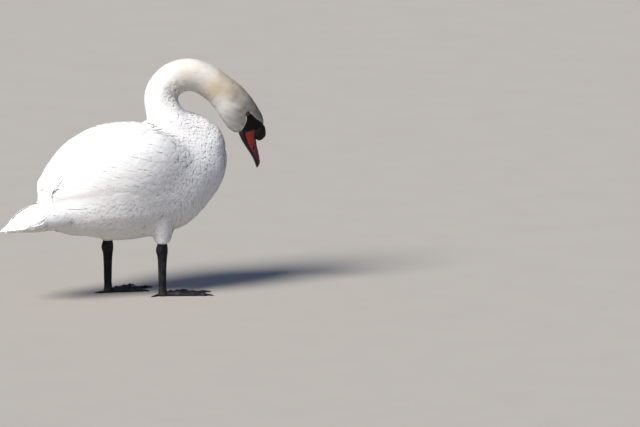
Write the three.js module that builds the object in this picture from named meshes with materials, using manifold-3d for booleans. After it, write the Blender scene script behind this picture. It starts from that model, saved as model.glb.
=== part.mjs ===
// A mute swan (Cygnus olor), adult male, life size, standing with its neck folded and its bill lowered.
// Millimetres, +Z up, the body faces +X and its right side is -Y. Soles at z = 0.
// Each soft part is a loft of oval rings; neighbours are cut to shape with a gap GAP between them.

import * as THREE from "three";
import { mergeVertices } from "three/addons/utils/BufferGeometryUtils.js";
import Module from "manifold-3d";

// ---------------------------------------------------------------- driving dimensions

const GAP = 0.3; // between pieces that meet
const SPAN = 1000; // longer than the bird, for cutting blocks
const RING_SIDES = { trunk: 24, wing: 20, neck: 20, bill: 14, leg: 12, toe: 8 }; // sides of a ring

const BODY = {
  backHeight: 447, // ridge of the back over the soles
  bellyHeight: 144, // lowest point of the belly
  halfWidth: 121, // of the trunk without the wings
  breastX: 265, // foremost point of the breast
  rumpX: -262, // rear end of the trunk under the tail
};

// The folded wing. Its primaries lie low at the rear, behind primariesX and under primariesTop.
const WING = { frontX: 132, endX: -262, primariesX: -128, primariesTop: 281 };
const TAIL = { rootX: -208, rootDepth: 12, tipX: -386, halfWidth: 64 };

const HEAD = {
  eye: new THREE.Vector3(291, -76, 458), // point midway between the eyes
  turn: THREE.MathUtils.degToRad(-20), // heading of the bill, to the bird's right
  nod: THREE.MathUtils.degToRad(79), // bill below the horizontal
  eyeRadius: 6.4,
  eyeSpacing: 25.2, // eye centre from the middle plane
  baseX: 46, // where the bill leaves the feathers
  tipX: 145, // bill tip
};

const LEG = {
  right: { x: 55, y: -60, yaw: -4 },
  left: { x: -37, y: 60, yaw: 5 },
  featherEnd: 134, // bottom of the feathered thigh
  ankle: 119,
  footTop: 13,
};

const TOES = {
  middle: { length: 124, yaw: 0 },
  outer: { length: 117, yaw: 25 },
  inner: { length: 93, yaw: -27 },
  claw: 15,
  hind: 24,
  rootRadius: 7.5,
  webThickness: 2.4,
};

const COLOURS = {
  plumage: 0xf4f3f1,
  neck: 0xebe4d8,
  bill: 0xd2521c,
  skin: 0x1a1918,
  eye: 0x120d0a,
};

// ---------------------------------------------------------------- solids

const wasm = await Module();
wasm.setup();

// A closed solid from loose triangles, turned so that its faces point out.
function solidFrom(points, triangles) {
  const geometry = new THREE.BufferGeometry()
    .setAttribute("position", new THREE.Float32BufferAttribute(points.flatMap((p) => p.toArray()), 3))
    .setIndex(triangles.flat());
  return solidOf(geometry);
}

function solidOf(geometry) {
  const bare = geometry.clone();
  bare.deleteAttribute("normal");
  bare.deleteAttribute("uv");
  const merged = mergeVertices(bare, 1e-4);
  const build = (triVerts) =>
    new wasm.Manifold(
      new wasm.Mesh({ numProp: 3, vertProperties: merged.attributes.position.array, triVerts }),
    );
  const triVerts = new Uint32Array(merged.index.array);
  const made = build(triVerts);
  return made.volume() > 0 ? made : build(triVerts.reverse());
}

function geometryOf(solid) {
  const mesh = solid.getMesh();
  const stride = mesh.numProp;
  const positions = new Float32Array(mesh.numVert * 3);
  for (let i = 0; i < mesh.numVert; i++) {
    positions.set(mesh.vertProperties.subarray(i * stride, i * stride + 3), i * 3);
  }
  const geometry = new THREE.BufferGeometry()
    .setAttribute("position", new THREE.BufferAttribute(positions, 3))
    .setIndex(new THREE.BufferAttribute(new Uint32Array(mesh.triVerts), 1));
  geometry.computeVertexNormals();
  return geometry;
}

// ---------------------------------------------------------------- lofts

// The value at u (0 to 1) of a smooth curve through the numbers in a list, evenly spread.
function smooth(values, u) {
  const place = u * (values.length - 1);
  const i = Math.min(Math.floor(place), values.length - 2);
  const t = place - i;
  const before = i > 0 ? values[i - 1] : 2 * values[i] - values[i + 1];
  const [a, b] = [values[i], values[i + 1]];
  const after = i + 2 < values.length ? values[i + 2] : 2 * b - a;
  const slopeA = (b - before) / 2;
  const slopeB = (after - a) / 2;
  return (
    a + t * (slopeA + t * (3 * (b - a) - 2 * slopeA - slopeB + t * (2 * (a - b) + slopeA + slopeB)))
  );
}

// An oval ring: half width w to each side, `up` above its centre and `down` below it.
// `square` is the exponent of the superellipse, 2 for an ellipse.
function ring({ centre, side, top, w, up, down, square = 2 }, around) {
  return Array.from({ length: around }, (_, k) => {
    const angle = (2 * Math.PI * k) / around;
    const [c, s] = [Math.cos(angle), Math.sin(angle)];
    const across = w * Math.sign(c) * Math.abs(c) ** (2 / square);
    const along = (s > 0 ? up : down) * Math.sign(s) * Math.abs(s) ** (2 / square);
    return centre.clone().addScaledVector(side, across).addScaledVector(top, along);
  });
}

// A closed skin over rings of equal count; an end closes on its pole, or on the ring's middle.
function loft(rings, startPole, endPole) {
  const around = rings[0].length;
  const middle = (points) =>
    points.reduce((sum, p) => sum.add(p), new THREE.Vector3()).divideScalar(points.length);
  const points = rings.flat();
  const start = points.push(startPole ?? middle(rings[0])) - 1;
  const end = points.push(endPole ?? middle(rings.at(-1))) - 1;
  const last = (rings.length - 1) * around;
  const triangles = [];
  for (let k = 0; k < around; k++) {
    const next = (k + 1) % around;
    triangles.push([start, next, k], [end, last + k, last + next]);
    for (let row = 0; row < last; row += around) {
      const above = row + around;
      triangles.push([row + k, row + next, above + next], [row + k, above + next, above + k]);
    }
  }
  return solidFrom(points, triangles);
}

// A loft along X through stations { x, y, z, w, up, down }, with round ends of the given depths.
function loftAlongX(stations, { rows, around, square, ends, grow = 0 }) {
  const read = (key, u) => smooth(stations.map((s) => s[key] ?? 0), u);
  const side = new THREE.Vector3(0, 1, 0);
  const top = new THREE.Vector3(0, 0, 1);
  const at = (u, shift = 0, scale = 1) => {
    const centre = new THREE.Vector3(read("x", u) + shift, read("y", u), read("z", u));
    const size = (key) => read(key, u) * scale + grow;
    return ring({ centre, side, top, w: size("w"), up: size("up"), down: size("down"), square }, around);
  };
  const forward = Math.sign(stations.at(-1).x - stations[0].x);
  const capSteps = [0.88, 0.5]; // sine of the angle down each round end
  const capScale = (s) => Math.sqrt(1 - s * s);
  const startDepth = ends[0] + grow;
  const endDepth = ends[1] + grow;
  const rings = [
    ...capSteps.map((s) => at(0, -forward * startDepth * s, capScale(s))),
    ...Array.from({ length: rows + 1 }, (_, i) => at(i / rows)),
    ...capSteps.toReversed().map((s) => at(1, forward * endDepth * s, capScale(s))),
  ];
  const pole = (u, shift) => new THREE.Vector3(read("x", u) + shift, read("y", u), read("z", u));
  return loft(rings, pole(0, -forward * startDepth), pole(1, forward * endDepth));
}

// ---------------------------------------------------------------- trunk, wings and tail

// Trunk stations from breast to rump: z is the height where the trunk is widest.
const trunkStation = (x, top, z, low, w) => ({ x, z, w, up: top - z, down: z - low });
const { backHeight, bellyHeight, halfWidth } = BODY;
const TRUNK_STATIONS = [
  trunkStation(255, 378, 331, 290, 40),
  trunkStation(232, 401, 328, 253, 72),
  trunkStation(190, 413, 318, 209, 96),
  trunkStation(136, 424, 307, 166, 112),
  trunkStation(76, 438, 301, 152, 0.98 * halfWidth),
  trunkStation(10, backHeight - 1, 299, bellyHeight + 1, halfWidth),
  trunkStation(-56, backHeight, 297, bellyHeight, 0.98 * halfWidth),
  trunkStation(-118, 436, 289, 156, 0.87 * halfWidth),
  trunkStation(-176, 400, 262, 166, 0.65 * halfWidth),
  trunkStation(-222, 326, 234, 180, 0.47 * halfWidth),
  trunkStation(-250, 272, 222, 190, 0.28 * halfWidth),
];
const trunk = (grow = 0) =>
  loftAlongX(TRUNK_STATIONS, {
    rows: 19,
    around: RING_SIDES.trunk,
    square: 2.15,
    ends: [BODY.breastX - TRUNK_STATIONS[0].x, TRUNK_STATIONS.at(-1).x - BODY.rumpX],
    grow,
  });

// Folded wing, from the shoulder to the rear edge of the secondaries. sign is -1 right, +1 left.
const wingStation = (sign) => (x, y, z, w, h) => ({ x, y: sign * y, z, w, up: h, down: h });
function wing(sign, grow = 0) {
  const station = wingStation(sign);
  const stations = [
    station(121, 87, 342, 17, 24),
    station(96, 83, 345, 35, 49),
    station(38, 74, 349, 57, 82),
    station(-40, 65, 341, 67.5, 92),
    station(-116, 49, 335, 67, 84),
    station(-182, 33, 316, 51, 69),
    station(-224, 22, 298, 37, 50),
    station(-250, 18, 287, 24, 31),
  ];
  return loftAlongX(stations, {
    rows: 13,
    around: RING_SIDES.wing,
    square: 2.5,
    ends: [WING.frontX - stations[0].x, stations.at(-1).x - WING.endX],
    grow,
  });
}

// The half space on one side of the bird's middle plane.
const sideOf = (sign) =>
  solidOf(new THREE.BoxGeometry(SPAN, SPAN, SPAN).translate(0, (sign * (SPAN + GAP)) / 2, 0));

// The block that holds the primaries, low at the rear of the folded wings.
const primariesBlock = (grow = 0) =>
  solidOf(
    new THREE.BoxGeometry(SPAN, SPAN, SPAN).translate(
      WING.primariesX + grow - SPAN / 2,
      0,
      WING.primariesTop + grow - SPAN / 2,
    ),
  );

const TAIL_STATIONS = [
  trunkStation(TAIL.rootX, 262, 222, 186, 0.98 * TAIL.halfWidth),
  trunkStation(-258, 259, 219, 186, 0.97 * TAIL.halfWidth),
  trunkStation(-300, 240, 212, 187, 0.88 * TAIL.halfWidth),
  trunkStation(-334, 218, 203, 189, 0.66 * TAIL.halfWidth),
  trunkStation(-364, 201, 196, 190, 0.38 * TAIL.halfWidth),
  trunkStation(-380, 194, 192, 190, 0.19 * TAIL.halfWidth),
];
const tail = () =>
  loftAlongX(TAIL_STATIONS, {
    rows: 10,
    around: RING_SIDES.neck,
    square: 2.5,
    ends: [TAIL.rootDepth, TAIL_STATIONS.at(-1).x - TAIL.tipX],
  });

// ---------------------------------------------------------------- head frame

// In the head's own frame the bill points to +X, the crown is +Z and the left eye is on +Y.
const headFrame = new THREE.Matrix4()
  .makeTranslation(HEAD.eye)
  .multiply(new THREE.Matrix4().makeRotationZ(HEAD.turn))
  .multiply(new THREE.Matrix4().makeRotationY(HEAD.nod));

// Head stations from nape to bill base: centre (x, z), tilt of the ring, half width, crown and throat.
const HEAD_STATIONS = [
  { x: -50, z: -37, tilt: 33, w: 40, up: 43, down: 47 },
  { x: -23, z: -22, tilt: 23, w: 38, up: 44, down: 50 },
  { x: 2, z: -11, tilt: 15, w: 31.5, up: 44, down: 51 },
  { x: 25, z: -3, tilt: 7, w: 24, up: 44, down: 50 },
  { x: HEAD.baseX, z: 2, tilt: 0, w: 18.5, up: 37.5, down: 41 },
];

function headRing(u, grow = 0) {
  const read = (key) => smooth(HEAD_STATIONS.map((s) => s[key]), u);
  const tilt = THREE.MathUtils.degToRad(read("tilt"));
  return {
    centre: new THREE.Vector3(read("x"), 0, read("z")),
    side: new THREE.Vector3(0, 1, 0),
    top: new THREE.Vector3(-Math.sin(tilt), 0, Math.cos(tilt)),
    w: read("w") + grow,
    up: read("up") + grow,
    down: read("down") + grow,
    square: 2.1,
  };
}

function skull(grow = 0) {
  const rows = 10;
  const rings = Array.from({ length: rows + 1 }, (_, i) => ring(headRing(i / rows, grow), RING_SIDES.neck));
  return loft(rings);
}

function eyeball(sign, grow = 0) {
  const ball = new THREE.SphereGeometry(HEAD.eyeRadius + grow, 12, 7);
  ball.translate(0, sign * HEAD.eyeSpacing, 0);
  return solidOf(ball);
}

// Half of the bill: `up` and `down` from the cutting edge, one of them nothing.
function billHalf(stations, grow = 0) {
  return loftAlongX(stations, {
    rows: 8,
    around: RING_SIDES.bill,
    square: 2.3,
    ends: [0.1, HEAD.tipX - stations.at(-1).x],
    grow,
  });
}
const CUTTING_EDGE = [-17, -16, -12.8, -7, -0.8, 1.5]; // its heights, evenly spread from the gape to the tip
const edgeHeight = (x) => smooth(CUTTING_EDGE, (x - HEAD.baseX) / (HEAD.tipX - HEAD.baseX));
const upperBill = (grow = 0) => {
  const station = (x, top, w) => ({ x, z: edgeHeight(x) + GAP, w, up: top - edgeHeight(x), down: 0 });
  return billHalf([
    station(HEAD.baseX + GAP, 22, 17.5),
    station(66, 14, 16.5),
    station(88, 11, 15.5),
    station(110, 11.5, 15.8),
    station(128, 10.5, 15),
    station(139, 7, 11),
  ], grow);
};
const lowerBill = (grow = 0) => {
  const station = (x, low, w) => ({ x, z: edgeHeight(x), w, up: 0, down: edgeHeight(x) - low });
  return billHalf([
    station(HEAD.baseX + GAP, -28, 14.5),
    station(66, -25, 14),
    station(88, -17.5, 13.2),
    station(106, -10.2, 13.4),
    station(124, -4.2, 12.4),
    station(137, -1.6, 9),
  ], grow);
};

// The wedge of feathers that runs out under the lower bill from the chin.
const chin = () =>
  loftAlongX([
    trunkStation(34, -18, -26, -43, 14),
    trunkStation(HEAD.baseX, -22, -27, -39, 12),
    trunkStation(58, -24, -27, -33, 8.5),
    trunkStation(68, -25, -26.5, -28.5, 3.5),
  ], { rows: 3, around: RING_SIDES.toe, square: 2.1, ends: [1, 2] });

const KNOB = { x: 56, z: 23, length: 24, width: 13, height: 18 };
function knob() {
  const bulb = new THREE.SphereGeometry(1, 14, 9);
  bulb.scale(KNOB.length, KNOB.width, KNOB.height);
  bulb.translate(KNOB.x, 0, KNOB.z);
  return solidOf(bulb);
}

// ---------------------------------------------------------------- neck

// The middle line of the neck, first in the bird's own plane and then turning to its right.
// `heading` is where the neck's plane points, `nape` and `throat` the half depths to its two sides in that
// plane, and `wide` half the neck across it. In the fold the throat sides meet.
const neckEnd = headRing(0);
const NECK_STATIONS = [
  { at: [190, 0, 338], nape: 80, throat: 80, wide: 84, heading: 0 },
  { at: [171, 0, 376], nape: 84, throat: 82, wide: 85, heading: 0 },
  { at: [110, -1, 437], nape: 53, throat: 48, wide: 63, heading: -1 },
  { at: [85, -2, 478], nape: 42, throat: 46, wide: 47, heading: -3 },
  { at: [74, -3, 508], nape: 34, throat: 53.5, wide: 39, heading: -6 },
  { at: [84, -5, 536], nape: 31, throat: 56, wide: 37, heading: -9 },
  { at: [113, -12, 556], nape: 36, throat: 51, wide: 38, heading: -12 },
  { at: [155, -25, 561], nape: 40, throat: 44, wide: 38, heading: -15 },
  { at: [193, -39, 548], nape: 39, throat: 44, wide: 37.5, heading: -17 },
  { at: [226, -53, 522], nape: 39, throat: 44, wide: 38, heading: -19 },
  {
    at: neckEnd.centre.clone().applyMatrix4(headFrame).toArray(),
    nape: neckEnd.up,
    throat: neckEnd.down,
    wide: neckEnd.w,
    heading: -20,
  },
];
const neckCurve = new THREE.CatmullRomCurve3(NECK_STATIONS.map((s) => new THREE.Vector3(...s.at)));
// At its end the neck runs square into the head's first ring.
const neckEndTangent = new THREE.Vector3()
  .crossVectors(neckEnd.side, neckEnd.top)
  .transformDirection(headFrame);

function neckRing(u) {
  const read = (key) => smooth(NECK_STATIONS.map((s) => s[key]), u);
  const tangent = u > 0.999 ? neckEndTangent : neckCurve.getTangent(u);
  const heading = THREE.MathUtils.degToRad(read("heading"));
  const left = new THREE.Vector3(-Math.sin(heading), Math.cos(heading), 0);
  const side = left.addScaledVector(tangent, -left.dot(tangent)).normalize();
  return {
    centre: neckCurve.getPoint(u),
    side,
    top: new THREE.Vector3().crossVectors(tangent, side),
    w: read("wide"),
    up: read("nape"),
    down: read("throat"),
    square: 2.05,
  };
}

// A length of the neck between two stations, short of each cut by half the gap.
function neckLength(from, to, rows) {
  const last = NECK_STATIONS.length - 1;
  const halfGap = GAP / 2 / neckCurve.getLength();
  const u = (i) => THREE.MathUtils.lerp(from / last + halfGap, to / last - halfGap, i / rows);
  const rings = Array.from({ length: rows + 1 }, (_, i) => ring(neckRing(u(i)), RING_SIDES.neck));
  return loft(rings);
}

// ---------------------------------------------------------------- legs

// A limb along a vertical line through stations from the top down: height, fore-and-aft and sideways halves.
function limb(stations, around) {
  const rings = stations.map(({ z, x = 0, deep, w }) =>
    ring({
      centre: new THREE.Vector3(x, 0, z),
      side: new THREE.Vector3(0, 1, 0),
      top: new THREE.Vector3(1, 0, 0),
      w,
      up: deep,
      down: deep,
    }, around),
  );
  return loft(rings);
}

const THIGH_STATIONS = [
  { z: 250, x: -24, deep: 62, w: 40 },
  { z: 205, x: -14, deep: 50, w: 40 },
  { z: 170, x: -4, deep: 34, w: 31 },
  { z: 150, x: 0, deep: 24, w: 23 },
  { z: LEG.featherEnd + 2, x: 0, deep: 18.5, w: 16.5 },
  { z: LEG.featherEnd, x: 0, deep: 15, w: 13 },
];

const SHANK_STATIONS = [
  { z: LEG.featherEnd - GAP, deep: 12.5, w: 9.8 },
  { z: LEG.ankle + 4, x: -1, deep: 15.6, w: 11.6 },
  { z: LEG.ankle - 4, x: -1, deep: 15.6, w: 11.6 },
  { z: LEG.ankle - 16, x: 0, deep: 13, w: 9.8 },
  { z: LEG.ankle - 36, x: 0, deep: 11.2, w: 8.4 },
  { z: 42, deep: 10.2, w: 7.8 },
  { z: 24, deep: 10, w: 8.2 },
  { z: LEG.footTop + GAP, deep: 10.4, w: 9.6 },
];

// A toe: flat under, round above, from the root to the claw's point. It lies along +X.
function toe(length, rootRadius, claw) {
  const flatRing = (x, half, height) =>
    ring({
      centre: new THREE.Vector3(x, 0, 0),
      side: new THREE.Vector3(0, 1, 0),
      top: new THREE.Vector3(0, 0, 1),
      w: half,
      up: height,
      down: 0,
    }, RING_SIDES.toe);
  const shares = [0, 0.34, 0.42, 0.68, 0.76, 1];
  const knuckle = [1, 0.88, 0.78, 0.76, 0.64, 0.5];
  const rings = shares.map((share, i) => {
    const half = rootRadius * knuckle[i];
    return flatRing(length * share, half, 1.3 * half);
  });
  rings.push(flatRing(length + 0.12 * claw, 0.34 * rootRadius, 5.4));
  rings.push(flatRing(length + 0.6 * claw, 0.26 * rootRadius, 3.6));
  return loft(rings, undefined, new THREE.Vector3(length + claw, 0, 0.6));
}

// The three front toes, their web, the raised hind toe and the pad under the shank. inward is -1 or +1.
function foot(inward) {
  const front = [TOES.inner, TOES.middle, TOES.outer];
  const angleOf = (spec) => -inward * spec.yaw;
  const webTip = (spec) => {
    const angle = THREE.MathUtils.degToRad(angleOf(spec));
    return new THREE.Vector2(Math.cos(angle), Math.sin(angle)).multiplyScalar(0.97 * spec.length);
  };
  const web = new THREE.Shape();
  web.moveTo(-6, 0);
  const [first, second, third] = front.map(webTip);
  const hollow = (a, b) => a.clone().add(b).multiplyScalar(0.455);
  web.lineTo(first.x, first.y);
  web.quadraticCurveTo(...hollow(first, second), second.x, second.y);
  web.quadraticCurveTo(...hollow(second, third), third.x, third.y);
  web.closePath();
  const sheet = new THREE.ExtrudeGeometry(web, {
    depth: TOES.webThickness,
    bevelEnabled: false,
    curveSegments: 5,
  });
  const pad = limb([
    { z: 0, x: 3, deep: 13, w: 12 },
    { z: 7, x: 2, deep: 13, w: 12 },
    { z: LEG.footTop, x: 0, deep: 9.6, w: 9 },
  ], RING_SIDES.leg);
  const hind = toe(TOES.hind, 4.2, 7).rotate([0, 0, 180 + inward * 20]).translate([-7, inward * 3, 0]);
  return front
    .map((spec) => toe(spec.length, TOES.rootRadius, TOES.claw).rotate([0, 0, angleOf(spec)]))
    .concat(pad, hind)
    .reduce((sum, piece) => sum.add(piece), solidOf(sheet));
}

// ---------------------------------------------------------------- the assembled bird

const finish = (color, roughness) => () => new THREE.MeshStandardMaterial({ color, roughness, metalness: 0 });
const plumage = finish(COLOURS.plumage, 0.9);
const creamPlumage = finish(COLOURS.neck, 0.9);
const billHorn = finish(COLOURS.bill, 0.4);
const blackSkin = finish(COLOURS.skin, 0.55);
const eyeGloss = finish(COLOURS.eye, 0.08);

function piece(name, solid, material) {
  const mesh = new THREE.Mesh(geometryOf(solid), material());
  mesh.name = name;
  return mesh;
}

const SIDES = { right: -1, left: 1 };
const swan = new THREE.Group();

// Trunk with the wings laid on it.
const grownTrunk = trunk(GAP);
swan.add(piece("trunk", trunk(), plumage));
for (const [side, sign] of Object.entries(SIDES)) {
  const folded = wing(sign).intersect(sideOf(sign)).subtract(grownTrunk);
  swan.add(piece(`wing_${side}`, folded.subtract(primariesBlock(GAP)), plumage));
  swan.add(piece(`primaries_${side}`, folded.intersect(primariesBlock()), plumage));
}
const clearOfBody = (solid) =>
  solid.subtract(grownTrunk).subtract(wing(SIDES.right, GAP)).subtract(wing(SIDES.left, GAP));
swan.add(piece("tail", clearOfBody(tail()), plumage));

// Neck in four lengths, the lowest cut to the trunk and the wings.
swan.add(piece("neck_base", clearOfBody(neckLength(0, 3, 9)), plumage));
swan.add(piece("neck_lower", neckLength(3, 5, 7), plumage));
swan.add(piece("neck_arch", neckLength(5, 8, 9), creamPlumage));
swan.add(piece("neck_upper", neckLength(8, 10, 6), creamPlumage));

// Head, bill and eyes, in the head's own frame.
const headGroup = new THREE.Group();
headGroup.applyMatrix4(headFrame);
const sockets = eyeball(SIDES.right, GAP).add(eyeball(SIDES.left, GAP));
headGroup.add(piece("head", skull().add(chin()).subtract(sockets).subtract(lowerBill(GAP)), creamPlumage));
headGroup.add(piece("bill_upper", upperBill(), billHorn));
headGroup.add(piece("bill_lower", lowerBill(), blackSkin));
headGroup.add(piece("bill_knob", knob().subtract(skull(GAP)).subtract(upperBill(GAP)), blackSkin));
for (const [side, sign] of Object.entries(SIDES)) {
  headGroup.add(piece(`eye_${side}`, eyeball(sign), eyeGloss));
}
swan.add(headGroup);

// Legs: a feathered thigh cut to the belly, the bare shank and the webbed foot.
for (const [side, sign] of Object.entries(SIDES)) {
  const { x, y, yaw } = LEG[side];
  const thigh = limb(THIGH_STATIONS, RING_SIDES.leg)
    .translate([x, y, 0])
    .subtract(grownTrunk)
    .decompose()
    .sort((a, b) => b.volume() - a.volume())[0];
  swan.add(piece(`thigh_${side}`, thigh, plumage));
  const leg = new THREE.Group();
  leg.position.set(x, y, 0);
  leg.add(piece(`shank_${side}`, limb(SHANK_STATIONS, RING_SIDES.leg), blackSkin));
  const webbed = piece(`foot_${side}`, foot(-sign), blackSkin);
  webbed.rotation.z = THREE.MathUtils.degToRad(yaw);
  leg.add(webbed);
  swan.add(leg);
}

// The part's origin is under the middle of the bird, on the floor.
const box = new THREE.Box3().setFromObject(swan, true);
const middle = box.getCenter(new THREE.Vector3());
swan.position.set(-middle.x, -middle.y, 0);

const group = new THREE.Group();
group.add(swan);
export default group;
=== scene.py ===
"""The looks of a standing adult mute swan at life size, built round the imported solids.

Metres, +Z up, the bird faces +X and its right side is -Y. One skin replaces the solids of flesh and lies
inside them by the depth of the coat. Every feather over it is a closed thin vane laid along the skin.
"""

import logging
import math
from dataclasses import dataclass, fields
from enum import Enum

import bpy
import numpy as np
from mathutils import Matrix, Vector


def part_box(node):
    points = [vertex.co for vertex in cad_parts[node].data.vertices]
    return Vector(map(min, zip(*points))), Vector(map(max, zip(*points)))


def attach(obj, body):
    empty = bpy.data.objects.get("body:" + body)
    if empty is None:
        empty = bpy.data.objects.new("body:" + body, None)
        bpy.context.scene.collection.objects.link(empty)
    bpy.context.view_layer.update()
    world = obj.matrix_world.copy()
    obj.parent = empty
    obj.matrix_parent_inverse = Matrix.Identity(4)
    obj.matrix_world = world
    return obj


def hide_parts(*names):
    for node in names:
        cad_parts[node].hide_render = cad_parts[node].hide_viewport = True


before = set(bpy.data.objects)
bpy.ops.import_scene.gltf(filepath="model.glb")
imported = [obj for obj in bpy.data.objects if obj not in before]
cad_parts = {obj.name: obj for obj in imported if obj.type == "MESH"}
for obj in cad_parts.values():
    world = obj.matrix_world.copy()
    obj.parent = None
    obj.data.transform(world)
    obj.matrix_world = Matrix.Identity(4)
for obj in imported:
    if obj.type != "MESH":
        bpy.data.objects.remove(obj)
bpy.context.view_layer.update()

MM = 0.001
FULL_TURN = 2 * math.pi
FLESH = [
    "trunk", "wing_right", "wing_left", "primaries_right", "primaries_left", "tail", "neck_base",
    "neck_lower", "neck_arch", "neck_upper", "head", "thigh_right", "thigh_left",
]
Array = np.ndarray
Shape = tuple[Array, list[Array]]  # points, and faces as arrays of point numbers
Socket = bpy.types.NodeSocket
Items = bpy.types.bpy_prop_collection
log = logging.getLogger("swan")


class Side(Enum):
    """The two sides of the bird, by the sign of their Y."""

    RIGHT = -1
    LEFT = 1

    @property
    def word(self) -> str:
        """The side's name as it stands in a piece's name."""
        return self.name.lower()


# ---------------------------------------------------------------- numbers and curves


def unit(vectors: Array) -> Array:
    """Each row divided by its length."""
    return vectors / np.maximum(np.linalg.norm(vectors, axis=-1, keepdims=True), 1e-12)


def ease(low: float, high: float, value: Array) -> Array:
    """0 under low, 1 over high, and 3 t squared less 2 t cubed between them."""
    t = np.clip((np.asarray(value, float) - low) / (high - low), 0, 1)
    return t * t * (3 - 2 * t)


def mix(a: Array, b: Array, share: Array) -> Array:
    """a where share is 0 and b where it is 1."""
    return a + (b - a) * share


def bell(value: Array, width: float) -> Array:
    """1 at 0 and falling away on both sides: e to the minus (value / width) squared."""
    return np.exp(-((value / width) ** 2))


def turns(count: int) -> Array:
    """Angles evenly spaced round a full turn."""
    return np.linspace(0, FULL_TURN, count + 1)[:-1]


def turned(x: Array, y: Array, angle: float) -> tuple[Array, Array]:
    """x and y turned about +Z by an angle in radians."""
    return x * math.cos(angle) - y * math.sin(angle), x * math.sin(angle) + y * math.cos(angle)


def stacked(*parts: Array) -> Array:
    """The parts as the last axis of one array, each first spread to the shape of all."""
    return np.stack(np.broadcast_arrays(*parts), axis=-1)


def through(places: Array, values: Array, at: Array) -> Array:
    """A smooth curve through values at places: cubic Hermite stretches with central slopes.

    Args:
        places: rising parameters, one for each value.
        values: numbers, or rows of numbers.
        at: where the curve is read; past its ends it keeps its end value.
    Returns:
        The curve's values at `at`.
    """
    places, values, at = (np.asarray(x, float) for x in (places, values, at))
    slopes = np.gradient(values, places, axis=0)
    i = np.clip(np.searchsorted(places, at) - 1, 0, len(places) - 2)
    width = places[i + 1] - places[i]
    t = np.clip((at - places[i]) / width, 0, 1)
    if values.ndim > 1:
        t, width = t[..., None], width[..., None]
    rise = t * (1 - t) ** 2 * width * slopes[i] + t * t * (t - 1) * width * slopes[i + 1]
    return (1 + 2 * t) * (1 - t) ** 2 * values[i] + t * t * (3 - 2 * t) * values[i + 1] + rise


def read(table: tuple, at: Array) -> Array:
    """The smooth curve through a table whose rows hold a place and then one value or more."""
    rows = np.array(table, float)
    return through(rows[:, 0], rows[:, 1] if rows.shape[1] == 2 else rows[:, 1:], at)


def ripple(points: Array, wavelength: float, seed: int) -> Array:
    """Smooth noise from -1 to 1 or so: the mean of sines along eight random directions.

    Args:
        points: places, one row each.
        wavelength: about the distance from crest to crest.
        seed: chooses the directions and phases.
    Returns:
        A number for each place.
    """
    rng = np.random.default_rng(seed)
    waves = unit(rng.normal(size=(8, 3))) * (FULL_TURN / wavelength) * rng.uniform(0.7, 1.4, (8, 1))
    return np.sin(points @ waves.T + rng.uniform(0, FULL_TURN, 8)).mean(axis=-1) * 1.8


def summed(places: Array, rows: Array, count: int) -> Array:
    """The rows added up by the place that each belongs to."""
    return np.stack([np.bincount(places, rows[:, k], count) for k in range(rows.shape[1])], axis=1)


# ---------------------------------------------------------------- meshes


def outward(points: Array, faces: list[Array]) -> list[Array]:
    """The faces of a closed shape, all turned round if its signed volume is negative.

    The volume is a sixth of the sum of a . (b x c) over each face's first corner and its other edges.

    Args:
        points: the shape's points.
        faces: arrays of their numbers.
    Returns:
        The faces, pointing outwards.
    """
    centre = points.mean(axis=0)
    volume = 0.0
    for face in faces:
        corners = points[face] - centre
        volume += (np.cross(corners[:, 1:-1], corners[:, 2:]) * corners[:, :1]).sum()
    return faces if volume > 0 else [face[:, ::-1] for face in faces]


def in_scene(name: str, data: bpy.types.ID) -> bpy.types.Object:
    """A new object at the origin that holds a mesh, a lamp or a camera.

    Args:
        name: its name.
        data: what it holds.
    Returns:
        The object.
    """
    piece = bpy.data.objects.new(name, data)
    bpy.context.scene.collection.objects.link(piece)
    return piece


def new_piece(name: str, points: Array, faces: list[Array]) -> bpy.types.Object:
    """A smooth-shaded mesh object at the origin.

    Args:
        name: the piece's name.
        points: one row for each vertex, in metres.
        faces: arrays of vertex numbers, each array for faces with one number of corners.
    Returns:
        The object, linked to the scene.
    """
    mesh = bpy.data.meshes.new(name)
    mesh.vertices.add(len(points))
    mesh.vertices.foreach_set("co", np.asarray(points, np.float32).ravel())
    if faces:
        corners = np.concatenate([face.ravel() for face in faces])
        sizes = np.concatenate([np.full(len(face), face.shape[1]) for face in faces])
        mesh.loops.add(len(corners))
        mesh.loops.foreach_set("vertex_index", corners.astype(np.int32))
        mesh.polygons.add(len(sizes))
        mesh.polygons.foreach_set("loop_start", (np.cumsum(sizes) - sizes).astype(np.int32))
        mesh.update(calc_edges=True)
        mesh.shade_smooth()
    return in_scene(name, mesh)


def grid_faces(rows: int, columns: int, wrap: bool) -> Array:
    """Quads of a grid whose point (i, j) has number i * columns + j.

    With wrap, its last column is joined to its first.

    Args:
        rows: points along the grid.
        columns: points across it.
        wrap: whether it closes on itself.
    Returns:
        The quads' corners, one row each.
    """
    i, j = np.meshgrid(np.arange(rows - 1), np.arange(columns if wrap else columns - 1), indexing="ij")
    a, b = i * columns + j, i * columns + (j + 1) % columns
    return np.stack([a, b, b + columns, a + columns], axis=-1).reshape(-1, 4)


def ball_angles(rows: int, columns: int) -> tuple[Array, Array]:
    """Angles from a ball's pole and about its axis, as a grid for closed_tube."""
    return np.meshgrid(np.linspace(0.03, math.pi - 0.03, rows), turns(columns), indexing="ij")


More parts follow.
